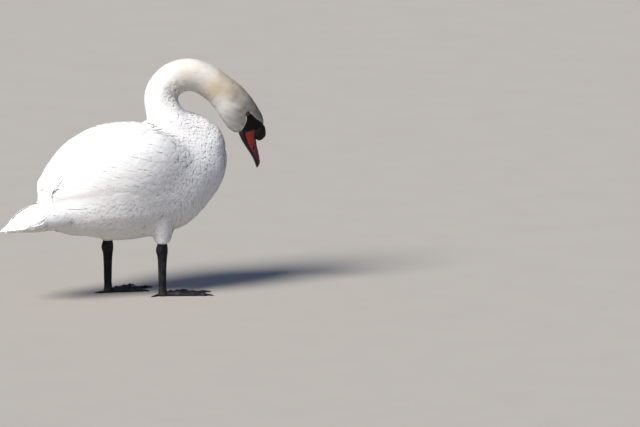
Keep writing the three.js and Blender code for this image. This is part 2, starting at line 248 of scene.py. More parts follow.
def closed_tube(rings: Array) -> Shape:
    """A closed skin over rings of points, each end closed on the middle of its ring.

    Args:
        rings: (rings, points in a ring, 3).
    Returns:
        Its points and faces.
    """
    rows, columns = rings.shape[:2]
    points = np.concatenate([rings.reshape(-1, 3), rings[0].mean(axis=0)[None], rings[-1].mean(axis=0)[None]])
    j = np.arange(columns)
    after = (j + 1) % columns
    start, end, last = rows * columns, rows * columns + 1, (rows - 1) * columns
    caps = [stacked(start, after, j), stacked(end, last + j, last + after)]
    return points, outward(points, [grid_faces(rows, columns, True), np.concatenate(caps)])


def joined(shapes: list[Shape]) -> Shape:
    """Several shapes' points and faces as one shape's.

    Args:
        shapes: their points and faces.
    Returns:
        The points and faces of all.
    """
    starts = np.cumsum([0] + [len(points) for points, _ in shapes])
    faces = [face + start for (_, several), start in zip(shapes, starts) for face in several]
    return np.concatenate([points for points, _ in shapes]), faces


def read_all(items: Items, key: str, columns: int = 1, kind: type = np.float32) -> Array:
    """One property of every item of a mesh's collection, as numbers or as rows of them.

    Args:
        items: the mesh's vertices, loops or the like.
        key: the property.
        columns: how many numbers it holds.
        kind: their type.
    Returns:
        A number or a row for each item.
    """
    values = np.empty(len(items) * columns, kind)
    items.foreach_get(key, values)
    return values.reshape(-1, columns) if columns > 1 else values


def set_points(piece: bpy.types.Object, points: Array) -> None:
    """Moves a piece's vertices."""
    piece.data.vertices.foreach_set("co", np.asarray(points, np.float32).ravel())
    piece.data.update()


def points_of(mesh: bpy.types.Mesh) -> Array:
    """A mesh's vertices, one row each."""
    return read_all(mesh.vertices, "co", 3).astype(float)


def normals_of(mesh: bpy.types.Mesh) -> Array:
    """A mesh's vertex normals, one row each."""
    return read_all(mesh.vertex_normals, "vector", 3).astype(float)


def numbers_of(mesh: bpy.types.Mesh, name: str) -> Array:
    """A number stored at each vertex."""
    return read_all(mesh.attributes[name].data, "value").astype(float)


def triangles_of(mesh: bpy.types.Mesh) -> Array:
    """A mesh's triangles as rows of three vertex numbers."""
    mesh.calc_loop_triangles()
    return read_all(mesh.loop_triangles, "vertices", 3, np.int32)


def sharpen(mesh: bpy.types.Mesh, rim: Array) -> None:
    """Marks as sharp each edge whose two ends are both on the rim."""
    sharp = rim[read_all(mesh.edges, "vertices", 2, np.int32)].all(axis=1)
    mesh.attributes.new("sharp_edge", "BOOLEAN", "EDGE").data.foreach_set("value", sharp)


def note(piece: bpy.types.Object, name: str, values: Array) -> None:
    """Stores one number, or a row of three, at each vertex for the materials to read.

    Args:
        piece: the piece.
        name: what the materials call it.
        values: a number or a row of three for each vertex.
    """
    values = np.asarray(values, np.float32)
    kind, key = ("FLOAT", "value") if values.ndim == 1 else ("FLOAT_VECTOR", "vector")
    piece.data.attributes.new(name, kind, "POINT").data.foreach_set(key, values.ravel())


def bake_map(piece: bpy.types.Object, places: Array) -> None:
    """Gives the piece its OFBake map from one place for each vertex.

    Args:
        piece: the piece.
        places: two numbers from 0 to 1 for each vertex.
    """
    corners = read_all(piece.data.loops, "vertex_index", kind=np.int32)
    uv = piece.data.uv_layers.new(name="OFBake")
    uv.data.foreach_set("uv", np.asarray(places, np.float32)[corners].ravel())


def remeshed(name: str, shape: Shape, voxel: float) -> bpy.types.Object:
    """The outer skin of overlapping closed shapes as one mesh of even quads, voxel apart.

    Args:
        name: its name.
        shape: the closed shapes' points and faces.
        voxel: the quads' size in metres.
    Returns:
        The new piece, linked to the scene.
    """
    rough = new_piece(name + "_rough", *shape)
    remesh = rough.modifiers.new("remesh", "REMESH")
    remesh.mode, remesh.voxel_size = "VOXEL", voxel
    shaped = rough.evaluated_get(bpy.context.evaluated_depsgraph_get())
    mesh = bpy.data.meshes.new_from_object(shaped)
    bpy.data.objects.remove(rough)
    mesh.name = name
    mesh.materials.clear()
    mesh.shade_smooth()
    return in_scene(name, mesh)


def smoothed(mesh: bpy.types.Mesh, points: Array, rounds: int, share: Array) -> Array:
    """Points moved towards the mean of their neighbours, again and again.

    Args:
        mesh: gives the edges.
        points: one row for each of its vertices.
        rounds: how many times.
        share: how far each point goes in one round, 0 to 1.
    Returns:
        The moved points.
    """
    a, b = read_all(mesh.edges, "vertices", 2, np.int32).T
    count = len(points)
    degree = np.maximum(np.bincount(a, minlength=count) + np.bincount(b, minlength=count), 1)
    share = np.broadcast_to(share, count)[:, None]
    for _ in range(rounds):
        total = summed(a, points[b], count) + summed(b, points[a], count)
        points = mix(points, total / degree[:, None], share)
    return points


# ---------------------------------------------------------------- materials

# A value carried smoothly between limits. Its inputs are 0 value, 1 and 2 its limits, 3 and 4 the result's.
SMOOTH_STEP = {"kind": "ShaderNodeMapRange", "interpolation_type": "SMOOTHSTEP"}


def srgb(hex_colour: str) -> tuple[float, float, float, float]:
    """A colour such as "#f4f3f1" as linear red, green, blue and alpha 1.

    Args:
        hex_colour: the sRGB value.
    Returns:
        The four linear numbers.
    """
    parts = [int(hex_colour[i : i + 2], 16) / 255 for i in (1, 3, 5)]
    linear = [c / 12.92 if c <= 0.04045 else ((c + 0.055) / 1.055) ** 2.4 for c in parts]
    return (*linear, 1.0)


def add_node(
    tree: bpy.types.NodeTree,
    kind: str,
    inputs: dict | None = None,
    output: int | str = 0,
    **settings: object,
) -> Socket | None:
    """Adds one node.

    Args:
        tree: the material's or the world's node tree.
        kind: the node's type.
        inputs: by socket name or number, a value or another node's output to link.
        output: which of its outputs to give back.
        settings: the node's own settings.
    Returns:
        That output, or nothing for a node that has none.
    """
    node = tree.nodes.new(kind)
    for name, value in settings.items():
        setattr(node, name, value)
    for name, value in (inputs or {}).items():
        if isinstance(value, Socket):
            tree.links.new(value, node.inputs[name])
        else:
            node.inputs[name].default_value = value
    return node.outputs[output] if len(node.outputs) else None


def layered(tree: bpy.types.NodeTree, base: str, *layers: tuple) -> Socket:
    """Colours laid over a base colour, one after another.

    Args:
        tree: the material's node tree.
        base: the lowest colour's sRGB hex value.
        layers: for each, its hex value and its share, as a socket or as the name of a number stored at the
            vertices; if it has an edge, then the share at which it starts and that at which it hides all.
    Returns:
        The colour's socket.
    """
    colour = srgb(base)
    for over, share, *edge in layers:
        if isinstance(share, str):
            share = add_node(tree, "ShaderNodeAttribute", output="Fac", attribute_name=share)
        if edge:
            share = add_node(tree, inputs={0: share, 1: edge[0], 2: edge[1]}, **SMOOTH_STEP)
        colour = add_node(tree, "ShaderNodeMix", {0: share, 6: colour, 7: srgb(over)}, 2, data_type="RGBA")
    return colour


def mottling(tree: bpy.types.NodeTree, size: float, detail: float = 3.0) -> Socket:
    """Noise in Object coordinates, with grains about `size` metres across."""
    coordinates = add_node(tree, "ShaderNodeTexCoord", output="Object")
    return add_node(tree, "ShaderNodeTexNoise", {"Vector": coordinates, "Scale": 1 / size, "Detail": detail})


@dataclass(frozen=True)
class Finish:
    """What a surface is made of. Each finish draws its nodes and ends them in a Principled shader."""

    name: str

    def draw(self, tree: bpy.types.NodeTree) -> None:
        """Adds the finish's nodes to an empty tree."""
        raise NotImplementedError

    def material(self) -> bpy.types.Material:
        """The finish as a material.

        Returns:
            The material.
        """
        material = bpy.data.materials.new(self.name)
        material.use_nodes = True
        material.node_tree.nodes.clear()
        self.draw(material.node_tree)
        return material

    @staticmethod
    def end(tree: bpy.types.NodeTree, inputs: dict, relief: tuple | None = None, passes: float = 0.0) -> None:
        """Ends the material.

        Args:
            tree: its node tree.
            inputs: the shader's inputs.
            relief: a height's socket, its strength and its depth in millimetres.
            passes: the share of the light that goes through a thin sheet.
        """
        if relief:
            height, strength, depth = relief
            bump = {"Strength": strength, "Distance": depth * MM, "Height": height}
            inputs = inputs | {"Normal": add_node(tree, "ShaderNodeBump", bump)}
        surface = add_node(tree, "ShaderNodeBsdfPrincipled", inputs)
        if passes:
            through_sheet = add_node(tree, "ShaderNodeBsdfTranslucent", {"Color": inputs["Base Color"]})
            surface = add_node(tree, "ShaderNodeMixShader", {0: passes, 1: surface, 2: through_sheet})
        add_node(tree, "ShaderNodeOutputMaterial", {"Surface": surface})


@dataclass(frozen=True)
class Plumage(Finish):
    """Keratin feathers of a white bird: matte, faintly translucent vanes of fine parallel barbs.

    The barbs give a soft sheen and no highlight. Real barbs are 0.4 mm apart, too fine to show, so they are
    drawn 1.2 mm apart.
    """

    name: str = "white_feather_keratin"
    white: str = "#f7f6f4"
    # the neck's own cream tint, also laid under the tail as painted shade
    cream: str = "#dccdb2"
    # brown of real staining, also laid heavier over the head as painted shade
    stain: str = "#847b6c"
    barb_gap: float = 1.2  # mm
    barb_slope: float = 0.7  # how far a barb runs outwards for each millimetre towards the tip
    bump: float = 0.12
    bump_depth: float = 0.6  # mm
    barbs_in_bump: float = 0.35  # the barbs' height as a share of that of the coarser bunches
    bunch: float = 12.0  # mm across one bunch
    unlike: float = 0.10  # how much creamier one feather may be than the next
    patch: float = 30.0  # mm across one patch of cream
    passes: float = 0.28  # share of the light that goes through a vane

    def draw(self, tree: bpy.types.NodeTree) -> None:
        """Reads vane: the place on the feather in millimetres, and the feather's chance; and the cream and
        brown tints, which are partly painted shade.

        Args:
            tree: the material's node tree.
        """
        sums = "ShaderNodeMath"
        vane = add_node(tree, "ShaderNodeAttribute", output="Vector", attribute_name="vane")
        across, along, own = add_node(tree, "ShaderNodeSeparateXYZ", {0: vane}).node.outputs
        outwards = add_node(tree, sums, {0: across}, operation="ABSOLUTE")
        slant = add_node(tree, sums, {0: outwards, 1: self.barb_slope, 2: along}, operation="MULTIPLY_ADD")
        phase = add_node(tree, sums, {0: slant, 1: FULL_TURN / self.barb_gap}, operation="MULTIPLY")
        barbs = add_node(tree, sums, {0: phase}, operation="SINE")
        bunches = mottling(tree, self.bunch * MM)
        height = add_node(tree, sums, {0: barbs, 1: self.barbs_in_bump, 2: bunches}, operation="MULTIPLY_ADD")
        patches = {0: mottling(tree, self.patch * MM), 1: 0.3, 2: 0.7, 3: 0.75, 4: 1.0}
        patchy = add_node(tree, inputs=patches, **SMOOTH_STEP)
        cream = add_node(tree, "ShaderNodeAttribute", output="Fac", attribute_name="cream")
        creamy = add_node(tree, sums, {0: cream, 1: patchy}, operation="MULTIPLY")
        varied = add_node(tree, sums, {0: own, 1: self.unlike, 2: creamy}, operation="MULTIPLY_ADD")
        inputs = {
            "Base Color": layered(tree, self.white, (self.cream, varied), (self.stain, "stain")),
            "Roughness": 0.85,
            "Specular IOR Level": 0.25,
            "Sheen Weight": 0.25,
            "Sheen Roughness": 0.5,
        }
        self.end(tree, inputs, (height, self.bump, self.bump_depth), self.passes)


@dataclass(frozen=True)
class Down(Finish):
    """The white down on the skin under the feathers, with the bare black lores before the eyes.

    Down scatters light and shows no gloss. The lores are smooth leathery skin with fine pores.
    """

    name: str = "down_over_skin"
    down: str = "#f2f0ec"
    # the neck's own cream tint, also laid under the tail as painted shade
    cream: str = "#dccdb2"
    # brown of real staining, also laid heavier over the head as painted shade
    stain: str = "#847b6c"
    lore: str = "#050506"
    roughness: tuple = (0.9, 0.5)  # of the down and of the lores
    tuft: float = 2.2  # mm
    bump: float = 0.35
    bump_depth: float = 0.5  # mm

    def draw(self, tree: bpy.types.NodeTree) -> None:
        """Reads the cream and brown tints, which are partly painted shade, and the lore mark at the vertices.

        Args:
            tree: the material's node tree.
        """
        lore = add_node(tree, "ShaderNodeAttribute", output="Fac", attribute_name="lore")
        bare = add_node(tree, inputs={0: lore, 1: 0.42, 2: 0.58}, **SMOOTH_STEP)
        down, leather = self.roughness
        layers = (self.cream, "cream"), (self.stain, "stain"), (self.lore, bare)
        inputs = {
            "Base Color": layered(tree, self.down, *layers),
            "Roughness": add_node(tree, inputs={0: bare, 1: 0.0, 2: 1.0, 3: down, 4: leather}, **SMOOTH_STEP),
            "Specular IOR Level": 0.15,
        }
        self.end(tree, inputs, (mottling(tree, self.tuft * MM, 4.0), self.bump, self.bump_depth))


@dataclass(frozen=True)
class BillHorn(Finish):
    """The bill's horn sheath: orange with a waxy satin gloss, redder to the tip, black at its edges. Its
    orange and crimson are darkened as painted shade.
    """

    name: str = "orange_bill_horn"
    # painted shade: darker than the horn's own orange, for the shade that the bill lies in
    orange: str = "#701d06"
    # painted shade: darker than the tip's own crimson, for the same shade
    crimson: str = "#46131f"
    black: str = "#0c0b0c"
    streaks: float = 0.25  # how far fine streaks move the change of colour
    streak: float = 4.0  # mm
    grain: float = 1.2  # mm
    bump: float = 0.25
    bump_depth: float = 0.3  # mm

    def draw(self, tree: bpy.types.NodeTree) -> None:
        """Reads black and tipward at the vertices.

        Args:
            tree: the material's node tree.
        """
        tipward = add_node(tree, "ShaderNodeAttribute", output="Fac", attribute_name="tipward")
        drift = {0: mottling(tree, self.streak * MM, 4.0), 1: self.streaks, 2: tipward}
        redder = add_node(tree, "ShaderNodeMath", drift, operation="MULTIPLY_ADD")
        layers = (self.crimson, redder, 0.15, 1.0), (self.black, "black", 0.35, 0.65)
        inputs = {
            "Base Color": layered(tree, self.orange, *layers),
            "Roughness": 0.4,
            "Specular IOR Level": 0.3,
            "Coat Weight": 0.08,
            "Coat Roughness": 0.3,
        }
        self.end(tree, inputs, (mottling(tree, self.grain * MM), self.bump, self.bump_depth))


@dataclass(frozen=True)
class BlackSkin(Finish):
    """Bare black leathery skin: fine pebbled scales with a dull gloss, dusty grey in patches."""

    name: str = "black_scaled_skin"
    black: str = "#0f0f0f"
    dusty: str = "#262422"
    scale: float = 2.2  # mm across one scale
    depth: float = 0.35  # mm
    roughness: float = 0.5
    bump: float = 0.6
    dust: float = 20.0  # mm across one dusty patch

    def draw(self, tree: bpy.types.NodeTree) -> None:
        """Cells in Object coordinates for the scales, and noise for the dust.

        Args:
            tree: the material's node tree.
        """
        cells = {
            "Vector": add_node(tree, "ShaderNodeTexCoord", output="Object"),
            "Scale": 1 / (self.scale * MM),
        }
        gaps = add_node(tree, "ShaderNodeTexVoronoi", cells, "Distance", feature="DISTANCE_TO_EDGE")
        plates = add_node(tree, inputs={0: gaps, 1: 0.0, 2: 0.22}, **SMOOTH_STEP)
        inputs = {
            "Base Color": layered(tree, self.black, (self.dusty, mottling(tree, self.dust * MM), 0.4, 0.75)),
            "Roughness": self.roughness,
            "Specular IOR Level": 0.2,
        }
        self.end(tree, inputs, (plates, self.bump, self.depth))


LOWER_BILL = BlackSkin("black_bill_horn", "#151314", "#2b2522", 1.2, 0.15, 0.42)
KNOB = BlackSkin("black_knob_skin", "#050505", "#0c0b0b", 1.5, 0.22, 0.5)
LIDS = BlackSkin("black_lid_skin", "#0d0c0d", "#161515", 0.9, 0.12, 0.6)
CLAWS = BlackSkin("black_claw_horn", "#100f0f", "#3a352f", 3.0, 0.1, 0.35)


@dataclass(frozen=True)
class WetEye(Finish):
    """A dark brown iris round a black pupil under a clear wet cornea, which gives one sharp highlight."""

    name: str = "wet_brown_eye"
    iris: str = "#2a1509"
    pupil: str = "#030303"

    def draw(self, tree: bpy.types.NodeTree) -> None:
        """Reads pupil at the vertices.

        Args:
            tree: the material's node tree.
        """
        inputs = {
            "Base Color": layered(tree, self.iris, (self.pupil, "pupil", 0.45, 0.55)),
            "Roughness": 0.25,
            "Coat Weight": 1.0,
            "Coat Roughness": 0.02,
            "Coat IOR": 1.38,
        }
        self.end(tree, inputs)


@dataclass(frozen=True)
class FloorPaint(Finish):
    """A matt painted studio floor, pale grey, with only the faint mottling of a roller."""

    name: str = "matt_floor_paint"
    grey: str = "#969087"
    light: str = "#9b958b"

    def draw(self, tree: bpy.types.NodeTree) -> None:
        """Faint noise between two greys."""
        colour = layered(tree, self.grey, (self.light, mottling(tree, 150 * MM)))
        self.end(tree, {"Base Color": colour, "Roughness": 0.85, "Specular IOR Level": 0.2})


def dress(piece: bpy.types.Object, material: bpy.types.Material) -> None:
    """Gives a piece its finish and its material slot, and rides it on the bird.

    Args:
        piece: the piece.
        material: its finish.
    """
    piece.data.materials.append(material)
    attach(piece, "root")
    log.info("%s: %d vertices", piece.name, len(piece.data.vertices))


# ---------------------------------------------------------------- the bird's own frames


@dataclass(frozen=True)
class HeadFrame:
    """The head's frame, in millimetres: +X along the bill, +Y to the bird's left, +Z to the crown.

    Its origin is midway between the eyes.
    """

    turn: float = -20.0  # heading of the bill in degrees, to the bird's right
    nod: float = 79.0  # degrees of the bill below the horizontal

    def axes(self) -> Array:
        """The frame's three directions as rows.

        Returns:
            Along the bill, to the left, and to the crown.
        """
        turn, nod = math.radians(self.turn), math.radians(self.nod)
        ahead = [math.cos(nod) * math.cos(turn), math.cos(nod) * math.sin(turn), -math.sin(nod)]
        left = [-math.sin(turn), math.cos(turn), 0]
        return np.array([ahead, left, np.cross(ahead, left)])

    def origin(self) -> Array:
        """The point midway between the eyes."""
        corners = [np.array(corner) for node in ("eye_right", "eye_left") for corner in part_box(node)]
        return np.mean(corners, axis=0)

    def world(self, local: Array) -> Array:
        """Points in the head's frame carried to the bird's."""
        return self.origin() + (np.asarray(local, float) * MM) @ self.axes()

    def local(self, points: Array) -> Array:
        """Points of the bird in the head's frame."""
        return (points - self.origin()) @ self.axes().T / MM


class Spine:
    """The middle line of the neck and head from the breast to the bill's base, with the flesh's radius."""

    NECK = (  # x, y, z and radius in millimetres
        (213, 0, 338, 82), (194, 0, 376, 84), (133, -1, 437, 58), (111, -2, 479, 47), (107.5, -3, 506.5, 45),
        (117, -5, 528.5, 44), (138.5, -12, 549, 44), (178, -25, 559, 42), (216, -39, 546, 41),
        (249, -53, 520, 41), (271.5, -60, 500, 44),
    )
    HEAD = ((-23, 0, -25, 47), (2, 0, -14, 48), (25, 0, -7, 45), (46, 0, -2, 37))  # in the head's frame
    SAMPLES = 160
    AT_ONCE = 20000  # points compared with the samples at a time, to save memory

    def __init__(self, head: HeadFrame) -> None:
        """Joins the neck's points to the head's and samples a smooth curve through them.

        Args:
            head: the head's frame.
        """
        neck, skull = np.array(self.NECK, float), np.array(self.HEAD, float)
        knots = np.concatenate([neck[:, :3] * MM, head.world(skull[:, :3])])
        radii = np.concatenate([neck[:, 3], skull[:, 3]]) * MM
        places = np.concatenate([[0], np.cumsum(np.linalg.norm(np.diff(knots, axis=0), axis=1))])
        self.at = np.linspace(0, places[-1], self.SAMPLES)
        self.points = through(places, knots, self.at)
        self.radii = through(places, radii, self.at)
        self.tangents = unit(np.gradient(self.points, axis=0))
        self.head_start = places[len(neck) - 1]
        self.length = places[-1]

    def place(self, points: Array) -> tuple[Array, Array, Array]:
        """Where points lie along the spine.

        Args:
            points: any points.
        Returns:
            For each, its distance along the spine in metres, its distance from it as a share of the flesh's
            radius there, and the number of the nearest sample.
        """
        nearest = np.empty(len(points), int)
        for start in range(0, len(points), self.AT_ONCE):
            some = points[start : start + self.AT_ONCE]
            apart = (some**2).sum(1)[:, None] - 2 * some @ self.points.T + (self.points**2).sum(1)
            nearest[start : start + self.AT_ONCE] = apart.argmin(axis=1)
        off = np.linalg.norm(points - self.points[nearest], axis=1) / self.radii[nearest]
        return self.at[nearest], off, nearest


# ---------------------------------------------------------------- markings


@dataclass(frozen=True)
class Markings:
    """Where the plumage is stained cream and brown, partly as painted shade on the head and under the tail,
    and where the face is bare and black.

    The same functions mark the skin and the feathers over it. Heights and lengths with names of the head's
    frame are in millimetres, and the others in metres.
    """

    head: HeadFrame
    spine: Spine
    cream_from: float = 0.15  # along the spine, where the neck starts to turn cream
    cream_full: float = 0.30
    neck_cream: float = 0.42
    nape_cream: float = 0.62
    # painted shade: how far the down-facing lower half of the tail is tinted towards cream
    tail_cream: float = 0.9
    # The lores' upper and lower edges: x and z in the head's frame.
    lore_top: tuple = ((-6, 2.5), (0, 7.5), (7, 12.5), (15, 18), (22, 24), (31, 32), (40, 39), (60, 50))
    lore_bottom: tuple = (
        (-6, 0.5), (0, -3.5), (8, -4), (15, -5), (22, -8), (33, -15.5), (42, -23), (56, -36),
    )

    def neck_share(self, points: Array) -> Array:
        """1 on the neck and head and 0 on the body."""
        along, off, _ = self.spine.place(points)
        return (1 - ease(1.12, 1.5, off)) * ease(0.05, 0.12, along)

    def cream(self, points: Array) -> Array:
        """How cream the plumage is, 0 to 1: up the neck, less on the throat and face; under the tail the tint
        is painted shade.

        Args:
            points: places in metres, one row each.
        Returns:
            A number for each place.
        """
        along, _, _ = self.spine.place(points)
        start = self.spine.head_start
        x, _, z = self.head.local(points).T
        neck = self.neck_cream * ease(self.cream_from, self.cream_full, along)
        neck = neck + self.nape_cream * ease(start - 0.09, start - 0.01, along)
        neck = neck * (1 - 0.75 * ease(0, -32, z) * ease(-70, -20, x)) * (1 - 0.5 * ease(-60, -20, x))
        patches = 0.5 + 0.5 * ripple(points, 0.045, 5)
        # painted shade: below the tail's middle height, where it faces down, the tail is tinted towards cream
        tail_middle = mix(0.188, 0.206, (points[:, 0] + 0.36) / 0.13)
        tail_underside_shade = ease(-0.20, -0.31, points[:, 0]) * ease(0.004, -0.006, points[:, 2] - tail_middle)
        neck = neck * self.neck_share(points) * (0.7 + 0.6 * patches)
        return np.clip(neck + self.tail_cream * tail_underside_shade, 0, 1)

    def stain(self, points: Array) -> Array:
        """How brown the plumage is, from 0 to 1: a smudge behind the eye and on the crown, and over the head
        and face a brown that is partly real staining and partly painted shade.

        Args:
            points: places in metres, one row each.
        Returns:
            A number for each place.
        """
        x, _, z = self.head.local(points).T
        smudge = 0.5 * np.exp(-(((x + 50) / 17) ** 2) - ((z + 25) / 15) ** 2)
        crown = 0.3 * np.exp(-(((x - 8) / 34) ** 2) - ((z - 32) / 16) ** 2)
        # partly real staining and partly painted shade: the head's brown is laid heavier than its stain, for
        # the shade that the head lies in
        head = 0.36 * ease(-110, -60, x) * ease(-45, -10, z) + 0.22 * ease(-50, -15, x)
        head = head * self.neck_share(points)
        return np.clip((smudge + crown + head) * (0.75 + 0.3 * ripple(points, 0.018, 9)), 0, 1)

    def lore(self, points: Array) -> Array:
        """Over 0.5 on the bare black skin between the eye and the bill, which ends at two curves over x.

        Args:
            points: places in metres, one row each.
        Returns:
            A number for each place.
        """
        x, _, z = self.head.local(points).T
        inside = np.minimum.reduce([read(self.lore_top, x) - z, z - read(self.lore_bottom, x), x + 5])
        near_face = np.linalg.norm(points - self.head.world((20, 0, 0)), axis=1) < 0.08
        return np.clip(0.5 + inside / 3, 0, 1) * near_face


# ---------------------------------------------------------------- skin


@dataclass
class Skin:
    """One skin over all the flesh: the solids' outline moved in by the depth of the coat. Sizes in metres."""

    markings: Markings
    voxel: float = 3.05 * MM
    swell: float = 0.5 * MM  # closes the cuts between the solids
    double: float = 0.01 * MM  # corners this near are one
    rounds: int = 12
    body_depth: float = 6.5 * MM
    neck_depth: float = 3.2 * MM
    head_depth: float = 1.5 * MM
    thigh_depth: float = 2.2 * MM
    tail_depth: float = 2.2 * MM
    chin_end: float = 42.5  # x in the head's frame where the feathered chin ends, mm
    chin_drawn: float = 0.8  # how much of what lies past it is drawn back
    crease_rounds: int = 320  # rounds of smoothing that fill the crease round the wings
    crease_inwards: float = 0.8  # the part kept of the moves inwards there

    def solid_outline(self) -> Shape:
        """The solids of flesh with their doubles merged, each swollen by `swell` along its vertex normals.

        Returns:
            The points and faces of all.
        """
        shapes = []
        for node in FLESH:
            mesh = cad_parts[node].data
            corners = read_all(mesh.loops, "vertex_index", kind=np.int32)
            loose = points_of(mesh)
            places = np.round(loose / self.double)
            _, first, number = np.unique(places, axis=0, return_index=True, return_inverse=True)
            points, triangles = loose[first], number.ravel()[corners].reshape(-1, 3)
            a, b, c = (points[triangles[:, k]] for k in range(3))
            facing = np.cross(b - a, c - a)
            normals = sum(summed(triangles[:, k], facing, len(points)) for k in range(3))
            shapes.append((points + self.swell * unit(normals), [triangles]))
        return joined(shapes)

    def depth(self, points: Array) -> Array:
        """How deep the coat is: deepest on the body, thinner up the neck, least on the face and thighs.

        Args:
            points: places in metres, one row each.
        Returns:
            The depth at each place, in metres.
        """
        x, _, z = points.T
        along, _, _ = self.markings.spine.place(points)
        start = self.markings.spine.head_start
        neck = mix(self.neck_depth, self.head_depth, ease(start - 0.03, start + 0.03, along))
        neck = mix(self.body_depth, neck, ease(0.10, 0.24, along))
        depth = mix(self.body_depth, neck, self.markings.neck_share(points))
        depth = mix(depth, self.tail_depth, ease(-0.235, -0.28, x))
        return mix(depth, self.thigh_depth, ease(0.175, 0.145, z) * ease(-0.15, -0.12, x))

    def wing_share(self, points: Array) -> Array:
        """1 where the outline is a folded wing's and 0 where it is the body's, by the nearer solid.

        Args:
            points: places in metres, one row each.
        Returns:
            A number for each place.
        """
        wings = [Surface(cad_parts[node]) for node in FLESH if node.startswith(("wing", "primaries"))]
        others = [Surface(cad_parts[node]) for node in ("trunk", "neck_base", "tail")]
        to_wing, to_other = (
            np.min([np.linalg.norm(solid.wrapped(points, 0.0) - points, axis=1) for solid in solids], axis=0)
            for solids in (wings, others)
        )
        return ease(-2 * MM, 2 * MM, to_other - to_wing)

    def short_chin(self, points: Array) -> Array:
        """Points with the chin's wedge between the rami drawn back, so that the lower bill shows under it.

        Args:
            points: places in metres, one row each.
        Returns:
            The moved points.
        """
        head = self.markings.head
        x, _, z = head.local(points).T
        under_face = (z < -18) & (np.linalg.norm(points - head.origin(), axis=1) < 0.09)
        past = np.maximum(x - self.chin_end, 0) * under_face
        return points - self.chin_drawn * MM * past[:, None] * head.axes()[0]

    def filled(self, piece: bpy.types.Object, points: Array) -> Array:
        """Points with the crease round the folded wings filled, as the breast's and flank's feathers do.

        The skin there is smoothed widely; moves outwards are kept, and moves inwards in part.

        Args:
            piece: the skin.
            points: places in metres, one row each.
        Returns:
            The moved points.
        """
        x, y, z = points.T
        beside = ease(-0.14, -0.08, x) * ease(0.235, 0.195, x) * ease(0.22, 0.25, z) * ease(0.43, 0.40, z)
        off_middle = ease(0.03, 0.05, np.abs(y))
        wide = smoothed(piece.data, points, self.crease_rounds, 0.5 * beside * off_middle)
        normals = normals_of(piece.data)
        out = ((wide - points) * normals).sum(axis=1)
        out = np.where(out > 0, out, self.crease_inwards * out)
        return smoothed(piece.data, points + normals * out[:, None], 4, 0.4 * beside)

    def build(self) -> bpy.types.Object:
        """Remeshes, smooths and moves the outline in, and stores the markings.

        Returns:
            The skin.
        """
        piece = remeshed("skin", self.solid_outline(), self.voxel)
        points = points_of(piece.data)
        along, _, _ = self.markings.spine.place(points)
        fine = ease(0.38, 0.44, along) * self.markings.neck_share(points)
        points = smoothed(piece.data, points, self.rounds, mix(0.5, 0.2, fine))
        set_points(piece, points)
        note(piece, "wing", self.wing_share(points))
        depth = self.depth(points)
        points = smoothed(piece.data, points - normals_of(piece.data) * depth[:, None], 3, 0.4)
        x, _, z = points.T
        thigh_tops = ease(0.225, 0.20, z) * ease(0.145, 0.16, z) * ease(-0.15, -0.12, x)
        points = smoothed(piece.data, points, 30, 0.5 * thigh_tops)
        set_points(piece, points)
        points = self.short_chin(self.filled(piece, points))
        set_points(piece, points)
        for name in ("cream", "stain", "lore"):
            note(piece, name, getattr(self.markings, name)(points))
        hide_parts(*FLESH)
        dress(piece, Down().material())
        return piece


class Surface:
    """A mesh as something to measure from and to lay feathers on."""

    LIFT = 2 * MM

    def __init__(self, target: bpy.types.Object) -> None:
        """Keeps the mesh's object."""
        self.target = target

    def wrapped(self, points: Array, lift: float) -> Array:
        """The nearest points of the mesh, raised by lift along its smooth normal.

        Args:
            points: places in metres, one row each.
            lift: how far, in metres.
        Returns:
            A place for each point.
        """
        probe = new_piece("probe", points, [])
        wrap = probe.modifiers.new("wrap", "SHRINKWRAP")
        wrap.target, wrap.wrap_method = self.target, "NEAREST_SURFACEPOINT"
        wrap.wrap_mode, wrap.offset = "ABOVE_SURFACE", lift
        found = points_of(probe.evaluated_get(bpy.context.evaluated_depsgraph_get()).data)
        mesh = probe.data
        bpy.data.objects.remove(probe)
        bpy.data.meshes.remove(mesh)
        return found

    def nearest(self, points: Array) -> tuple[Array, Array]:
        """The mesh's nearest points and its normals there.

        Args:
            points: places in metres, in any shape that ends in 3.
        Returns:
            Places and unit normals, in the same shape.
        """
        flat = points.reshape(-1, 3)
        on, above = self.wrapped(flat, 0.0), self.wrapped(flat, self.LIFT)
        return on.reshape(points.shape), unit(above - on).reshape(points.shape)


# ---------------------------------------------------------------- bill, knob and eyes


